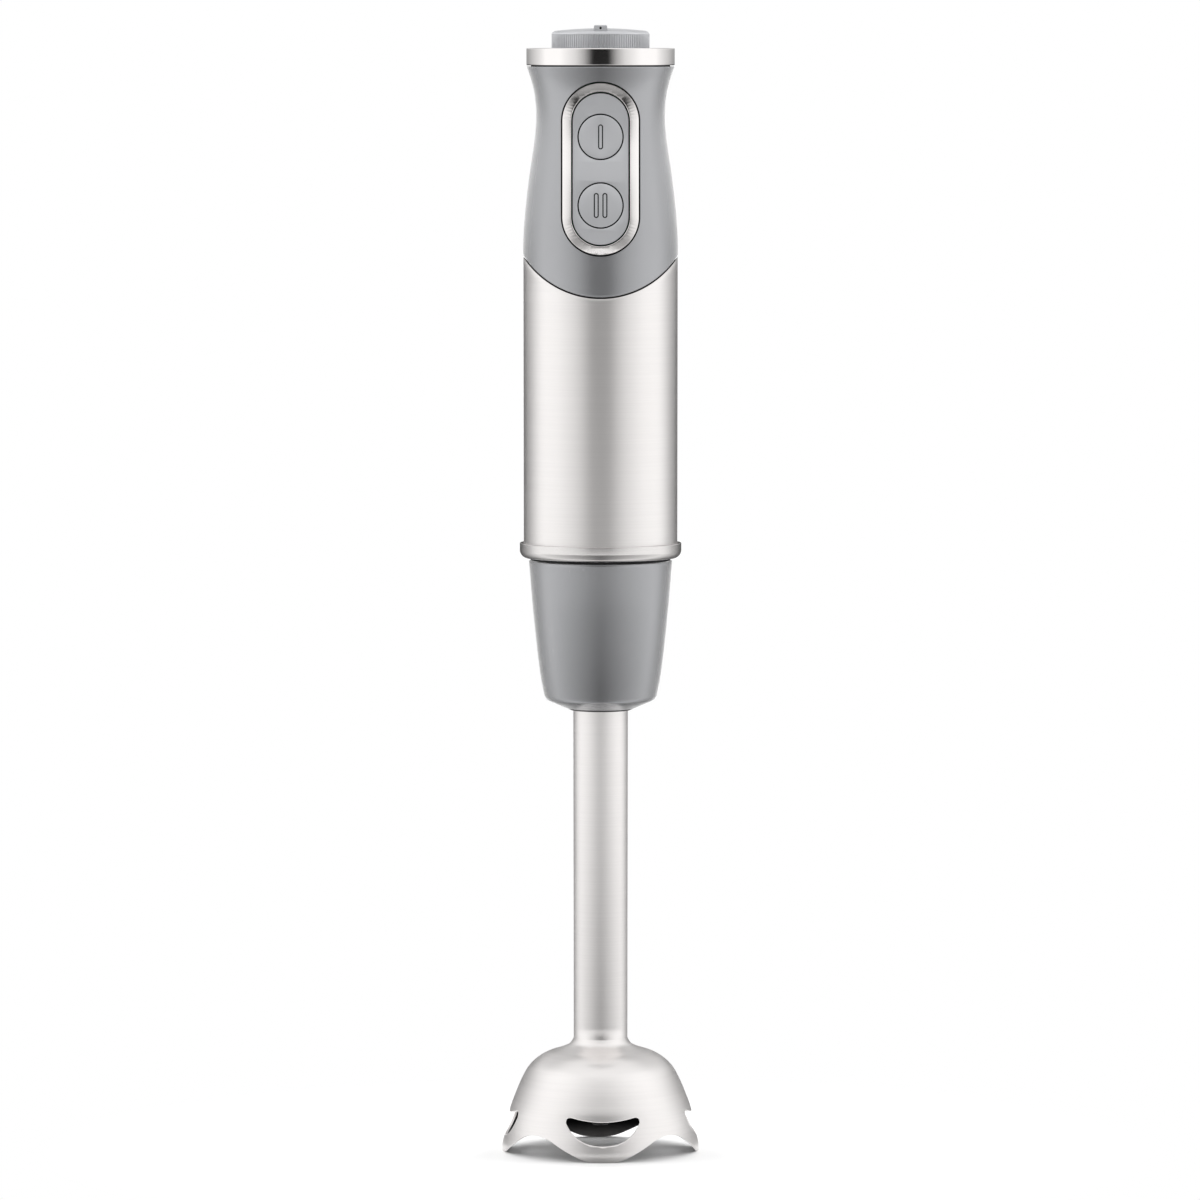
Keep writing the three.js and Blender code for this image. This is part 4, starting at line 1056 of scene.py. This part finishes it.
def makeFoot():
    outer = [[radius, height] for height, radius in footRow]
    inner = []
    for i, (radius, height) in enumerate(outer):
        r0, z0 = outer[max(i - 1, 0)]
        r1, z1 = outer[min(i + 1, len(outer) - 1)]
        length = hypot(r1 - r0, z1 - z0)
        lift = foot["sheet"] * (r1 - r0) / length if i else 0
        inner.append([radius - foot["sheet"] * (z1 - z0) / length, height + lift])
    bore = [[radius - foot["sheet"], height] for radius, height in reversed(foot["tube"])]
    bm = turned(outer + foot["tube"] + bore + inner[::-1], 288)
    rounded(bm, foot["lip"], 2, 50)
    for corner in bm.verts:
        if corner.co.z < foot["liftTop"]:
            angle = atan2(corner.co.y, corner.co.x)
            height = corner.co.z + rimLift(angle) * (1 - corner.co.z / foot["liftTop"])
            radius = corner.co.xy.length + footRadius(height) - footRadius(corner.co.z)
            corner.co.xy = corner.co.xy.normalized() * radius
            corner.co.z = height
    bm = combined(bm, [smileCutter(turn) for turn in (0, 90, 180, 270)])
    turnedBy(bm, foot["seatTurn"])

    # painted highlight: the chamfer of the cut edges takes the near-white finish
    def cutEdge(spot):
        return spot.z < foot["liftTop"] and foot["edgeStart"] < bellDepth(spot) < foot["chamfer"] * 0.8

    # painted shade: faces inside the sheet take the shaded copy of the steel
    def inside(spot):
        return footRadius(spot.z) - spot.xy.length > foot["sheet"] * 0.9

    others = [(shadedInnerSteel, inside), (highlightedEdgeSteel, cutEdge)]
    return placed(bm, "steelFoot", "foot", ["steel_foot"], footSteel, 40, others)


makeFoot()

# hub under the bell, blade, shaft and nut
hub = {
    "radius": 8.1, "bore": 6.3, "mouth": 4.0, "bottom": 24.2, "top": 52, "slope": 0.8, "floor": 1.4,
    "edge": 0.25,
}
blade = {
    # reach along the wing, share of its bend, half its breadth
    "stations": [[3, 0, 5.2], [9, 0.1, 5], [14, 0.5, 4.6], [19, 0.85, 3.6], [22, 0.97, 2.6], [23.4, 1, 1.4]],
    "height": 14.6,
    "up": 4.5,
    "down": -2.6,
    "sweep": 0.012,
    "thickness": 1.6,
    "ground": 2.6,
    "hub": 5.4,
    "hubBottom": 12.6,
    "hubTop": 17,
    "bore": 3.3,
    "cut": [8, 20],
    "edge": 0.3,
}
shaft = {"radius": 3.0, "bottom": 9.0, "top": 186.8, "slope": 0.4}
nut = {"radius": 4.3, "edge": 0.25}


def makeHub():
    radius, bore, mouth, bottom = hub["radius"], hub["bore"], hub["mouth"], hub["bottom"]
    bm = turned([
        [radius, bottom + hub["slope"]], [radius, hub["top"]], [bore, hub["top"]],
        [bore, bottom + hub["floor"]], [mouth, bottom + hub["floor"]], [mouth, bottom],
        [radius - hub["slope"], bottom],
    ], 96)
    rounded(bm, hub["edge"], 2, 40)
    return placed(bm, "hubSleeve", "foot", ["hub_sleeve"], innerPlastic)


def wing(lift, flip):
    bm = bmesh.new()
    thick, broadest = blade["thickness"] / 2, blade["stations"][0][2]
    loops = []
    for reach, share, breadth in smoothRow(blade["stations"], 24):
        shift = blade["sweep"] * reach**2
        middle = blade["height"] + lift * share
        ground = blade["ground"] * breadth / broadest - breadth  # where the ground edge ends
        section = [(-breadth, 0), (ground, thick), (breadth, thick), (breadth, -thick), (ground, -thick)]
        ring = [bm.verts.new((reach, across + shift, middle + up)) for across, up in section]
        loops.append([bm.edges.new(pair) for pair in zip(ring, ring[1:] + ring[:1])])
    for first, second in zip(loops, loops[1:]):
        bmesh.ops.bridge_loops(bm, edges=first + second)
    for end in (loops[0], loops[-1]):
        bmesh.ops.edgeloop_fill(bm, edges=end)
    return turnedBy(tidied(bm), 180 if flip else 0)


def makeBlade():
    core = pipe(blade["bore"], blade["hub"], blade["hubBottom"], blade["hubTop"], 72)
    rounded(core, blade["edge"], 2, 40)
    bm = combined(core, [wing(blade["up"], False), wing(blade["down"], True)], "UNION")
    bm = combined(bm, [pipe(needle, blade["bore"], *blade["cut"], 72)])
    turnedBy(bm, foot["seatTurn"])
    return placed(bm, "choppingBlade", "blade", ["blade"], bladeSteel)


def makeShaft():
    radius, bottom, top, slope = shaft["radius"], shaft["bottom"], shaft["top"], shaft["slope"]
    bm = turned([
        [0, bottom], [radius - slope, bottom], [radius, bottom + slope], [radius, top], [0, top],
    ], 48)
    return placed(bm, "bladeShaft", "blade", ["blade_shaft"], shadeDarkSteel)


def makeNut():
    low, high = nodeBox("blade_nut")
    bm = bmesh.new()
    bmesh.ops.create_circle(bm, cap_ends=True, radius=nut["radius"], segments=6)
    grown = bmesh.ops.extrude_face_region(bm, geom=bm.faces[:])["geom"]
    upper = [part for part in grown if isinstance(part, bmesh.types.BMVert)]
    bmesh.ops.translate(bm, verts=upper, vec=(0, 0, high.z - low.z))
    movedBy(bm, 0, 0, low.z)
    tidied(bm)
    rounded(bm, nut["edge"], 2, 40)
    bm = combined(bm, [pipe(needle, blade["bore"], *blade["cut"], 48)])
    turnedBy(bm, foot["seatTurn"])
    return placed(bm, "bladeNut", "blade", ["blade_nut"], shadeDarkSteel)


makeHub()
makeBlade()
makeShaft()
makeNut()

# finishes of the pieces that are carried over from the frame as they are
slotFinish = {
    "grip_plastic": gripPlastic, "adapter_plastic": adapterPlastic, "brushed_steel": sleeveSteel,
    "chrome": ringChrome, "machined_steel": machinedSteel, "black_rubber": blackRubber,
    "inner_plastic": innerPlastic, "laminations": laminations, "copper": copperWire, "brass": brass,
    "circuit_board": boardGreen, "carbon": carbonBlock,
}
slotOfNode = {entry["node"]: entry["material_slot"] for entry in frame["record"]["subparts"]}
for name, node in frame["nodes"].items():
    node.data.materials.clear()
    node.data.materials.append(slotFinish[slotOfNode[name]])
print("carried-over pieces dressed")

# stage, lamps and the screen that the metals reflect
studio = {
    "floorRadius": 6.0,
    "floorTone": 0.9,
    "whiteFrom": 0.045,  # the floor turns to plain white between these two distances
    "whiteTo": 0.2,
    "screenRadius": 0.9,
    "screenHeight": 1.3,
    "screenLift": 0.002,
    "screenTone": 1.2,
    "frontEnd": [95, 125],  # the front of the screen ends between these two directions
    # degrees from the front, and how light the screen is there
    "screenStops": [
        [11, 0], [14.4, 0.05], [25, 0.375], [38, 0.66], [51, 0.8], [65, 0.96], [95, 0.96], [108, 0.72],
        [122, 0.45], [136, 0.25], [150, 0.08], [180, 0],
    ],
    "floorStops": [[0, 0.1], [100, 1], [120, 0.6], [150, 0.12], [180, 0.05]],
    "frontLift": [
        [0.06, 0.9], [0.12, 0.35], [0.26, 0.25], [0.285, 0.02], [0.45, 0], [0.6, 0.6], [1.3, 0.7],
    ],
    "rearLift": [[0.28, 0], [0.5, 0.6], [0.62, 0.6], [0.8, 0.3], [1.3, 0.3]],
    "worldFill": 0.55,
}
# lamps that stand upright in pairs, and single lamps; places and sizes in metres
pairedLamps = {
    "Box": {"azimuth": 106, "distance": 1.15, "width": 1.0, "height": 1.7, "radiance": 2.4},
    "Rim": {"azimuth": 145, "distance": 1.3, "width": 0.5, "height": 1.2, "radiance": 5.0},
}
singleLamps = {
    "topBox": {"place": (0, 0.45, 1.6), "aim": (0, 0, 0.1), "width": 1.0, "height": 1.0, "radiance": 1.5},
    "frontBox": {"place": (0, -1.6, 1.1), "aim": (0, 0, 0.25), "width": 1.4, "height": 1.0, "radiance": 1.0},
}
lampClearance = 0.03  # between the floor and an upright lamp
camera = {"place": (-0.0002, -2.8, 0.39), "tilt": 86, "lens": 240, "sensor": 36, "reach": 50}


def addStage(bm, name, finish):
    mesh = bpy.data.meshes.new(name)
    bm.to_mesh(mesh)
    bm.free()
    made = bpy.data.objects.new(name, mesh)
    mesh.materials.append(finish)
    rootCollection.objects.link(made)
    return made


def lookingRay(wire):  # 1 for rays that look at things, 0 for rays that only gather light
    kinds = ("Camera", "Glossy", "Transmission")
    seen, mirrored, passed = (wire.node("LightPath", None, None, "Is " + kind + " Ray") for kind in kinds)
    return (seen + mirrored + passed).clamped()


def awayFromFront(wire):  # degrees round the object, 0 in front and 180 behind
    place = wire.position()
    x, y = (wire.node("SeparateXYZ", None, {0: place}, axis) for axis in "XY")
    return wire.maths("ABSOLUTE", wire.maths("ARCTAN2", x, 0.0 - y)) * (180 / pi)


def inFront(wire):  # 1 in front and at the sides, 0 behind
    return 1.0 - awayFromFront(wire).between(*studio["frontEnd"])


def steppedTone(wire, value, stops):  # tone that follows a value through [value, tone] stops
    last = stops[-1][0]
    return wire.node("ValToRGB", {"stops": [[at / last, level] for at, level in stops]}, {0: value / last})


def makeFloor():
    finish, wire, place = newFinish("paleFloor")
    away = wire.node("VectorMath", {"operation": "LENGTH"}, {0: place}, "Value")
    plain = wire.node("BsdfPrincipled", None, {"Base Color": tone(studio["floorTone"]), "Roughness": 0.7})
    glossy = wire.node("LightPath", None, None, "Is Glossy Ray")
    around = steppedTone(wire, awayFromFront(wire), studio["floorStops"])
    level = 1.0 + glossy * (around - 1.0)
    white = wire.node("Emission", None, {"Color": (1, 1, 1, 1), "Strength": level})
    share = (lookingRay(wire) * away.between(studio["whiteFrom"], studio["whiteTo"]) + glossy).clamped()
    mixed = wire.node("MixShader", None, {0: share, 1: plain, 2: white})
    wire.node("OutputMaterial", None, {"Surface": mixed})
    bm = bmesh.new()
    bmesh.ops.create_circle(bm, cap_ends=True, radius=studio["floorRadius"], segments=96)
    addStage(bm, "floor", finish)


def makeScreen():  # seen in reflections only: dark in front, light at the sides, grey behind
    finish, wire, place = newFinish("screenLight")
    z = wire.node("SeparateXYZ", None, {0: place}, "Z")
    around = steppedTone(wire, awayFromFront(wire), studio["screenStops"])
    front = inFront(wire)
    frontLift = steppedTone(wire, z, studio["frontLift"])
    rearLift = steppedTone(wire, z, studio["rearLift"])
    lift = frontLift * front + rearLift * (1.0 - front)
    level = around + (1.0 - around) * lift
    lit = wire.node("Emission", None, {"Color": (1, 1, 1, 1), "Strength": level * studio["screenTone"]})
    wire.node("OutputMaterial", None, {"Surface": lit})
    bm = bmesh.new()
    bmesh.ops.create_cone(
        bm, cap_ends=False, radius1=studio["screenRadius"], radius2=studio["screenRadius"],
        depth=studio["screenHeight"], segments=128,
    )
    movedBy(bm, 0, 0, studio["screenHeight"] / 2 + studio["screenLift"])
    screen = addStage(bm, "screen", finish)
    screen.visible_camera = False
    screen.visible_diffuse = False
    screen.visible_shadow = False
    screen.visible_transmission = False


def addLamp(name, place, aim, width, height, radiance):
    lamp = bpy.data.lights.new(name, "AREA")
    lamp.shape = "RECTANGLE"
    lamp.size = width
    lamp.size_y = height
    lamp.energy = radiance * pi * width * height
    made = bpy.data.objects.new(name, lamp)
    made.location = place
    made.rotation_euler = (Vector(aim) - Vector(place)).to_track_quat("-Z", "Y").to_euler()
    rootCollection.objects.link(made)
    made.visible_camera = False
    made.visible_glossy = False


def makeLights():
    for kind, look in pairedLamps.items():
        reach, angle, height = look["distance"], radians(look["azimuth"]), look["height"]
        middle = height / 2 + lampClearance
        for name, side in (("left", -1), ("right", 1)):
            place = (side * reach * sin(angle), -reach * cos(angle), middle)
            addLamp(name + kind, place, (0, 0, middle), look["width"], height, look["radiance"])
    for name, look in singleLamps.items():
        addLamp(name, look["place"], look["aim"], look["width"], look["height"], look["radiance"])


def makeWorld():
    world = bpy.data.worlds.new("studio")
    bpy.context.scene.world = world
    world.use_nodes = True
    world.node_tree.nodes.clear()
    wire = Wire(world.node_tree)
    strength = studio["worldFill"] + lookingRay(wire) * (1.0 - studio["worldFill"])
    light = wire.node("Background", None, {"Color": (1, 1, 1, 1), "Strength": strength})
    wire.node("OutputWorld", None, {"Surface": light})
    world.cycles.sampling_method = "NONE"


def makeCamera():
    lens = bpy.data.cameras.new("camera")
    lens.sensor_width = camera["sensor"]
    lens.lens = camera["lens"]
    lens.clip_end = camera["reach"]
    made = bpy.data.objects.new("camera", lens)
    made.location = camera["place"]
    made.rotation_euler = (radians(camera["tilt"]), 0, 0)
    rootCollection.objects.link(made)
    bpy.context.scene.camera = made


makeFloor()
makeScreen()
makeLights()
makeWorld()
makeCamera()
bpy.context.scene.view_settings.view_transform = "Standard"
print("stage set")

bpy.context.view_layer.update()
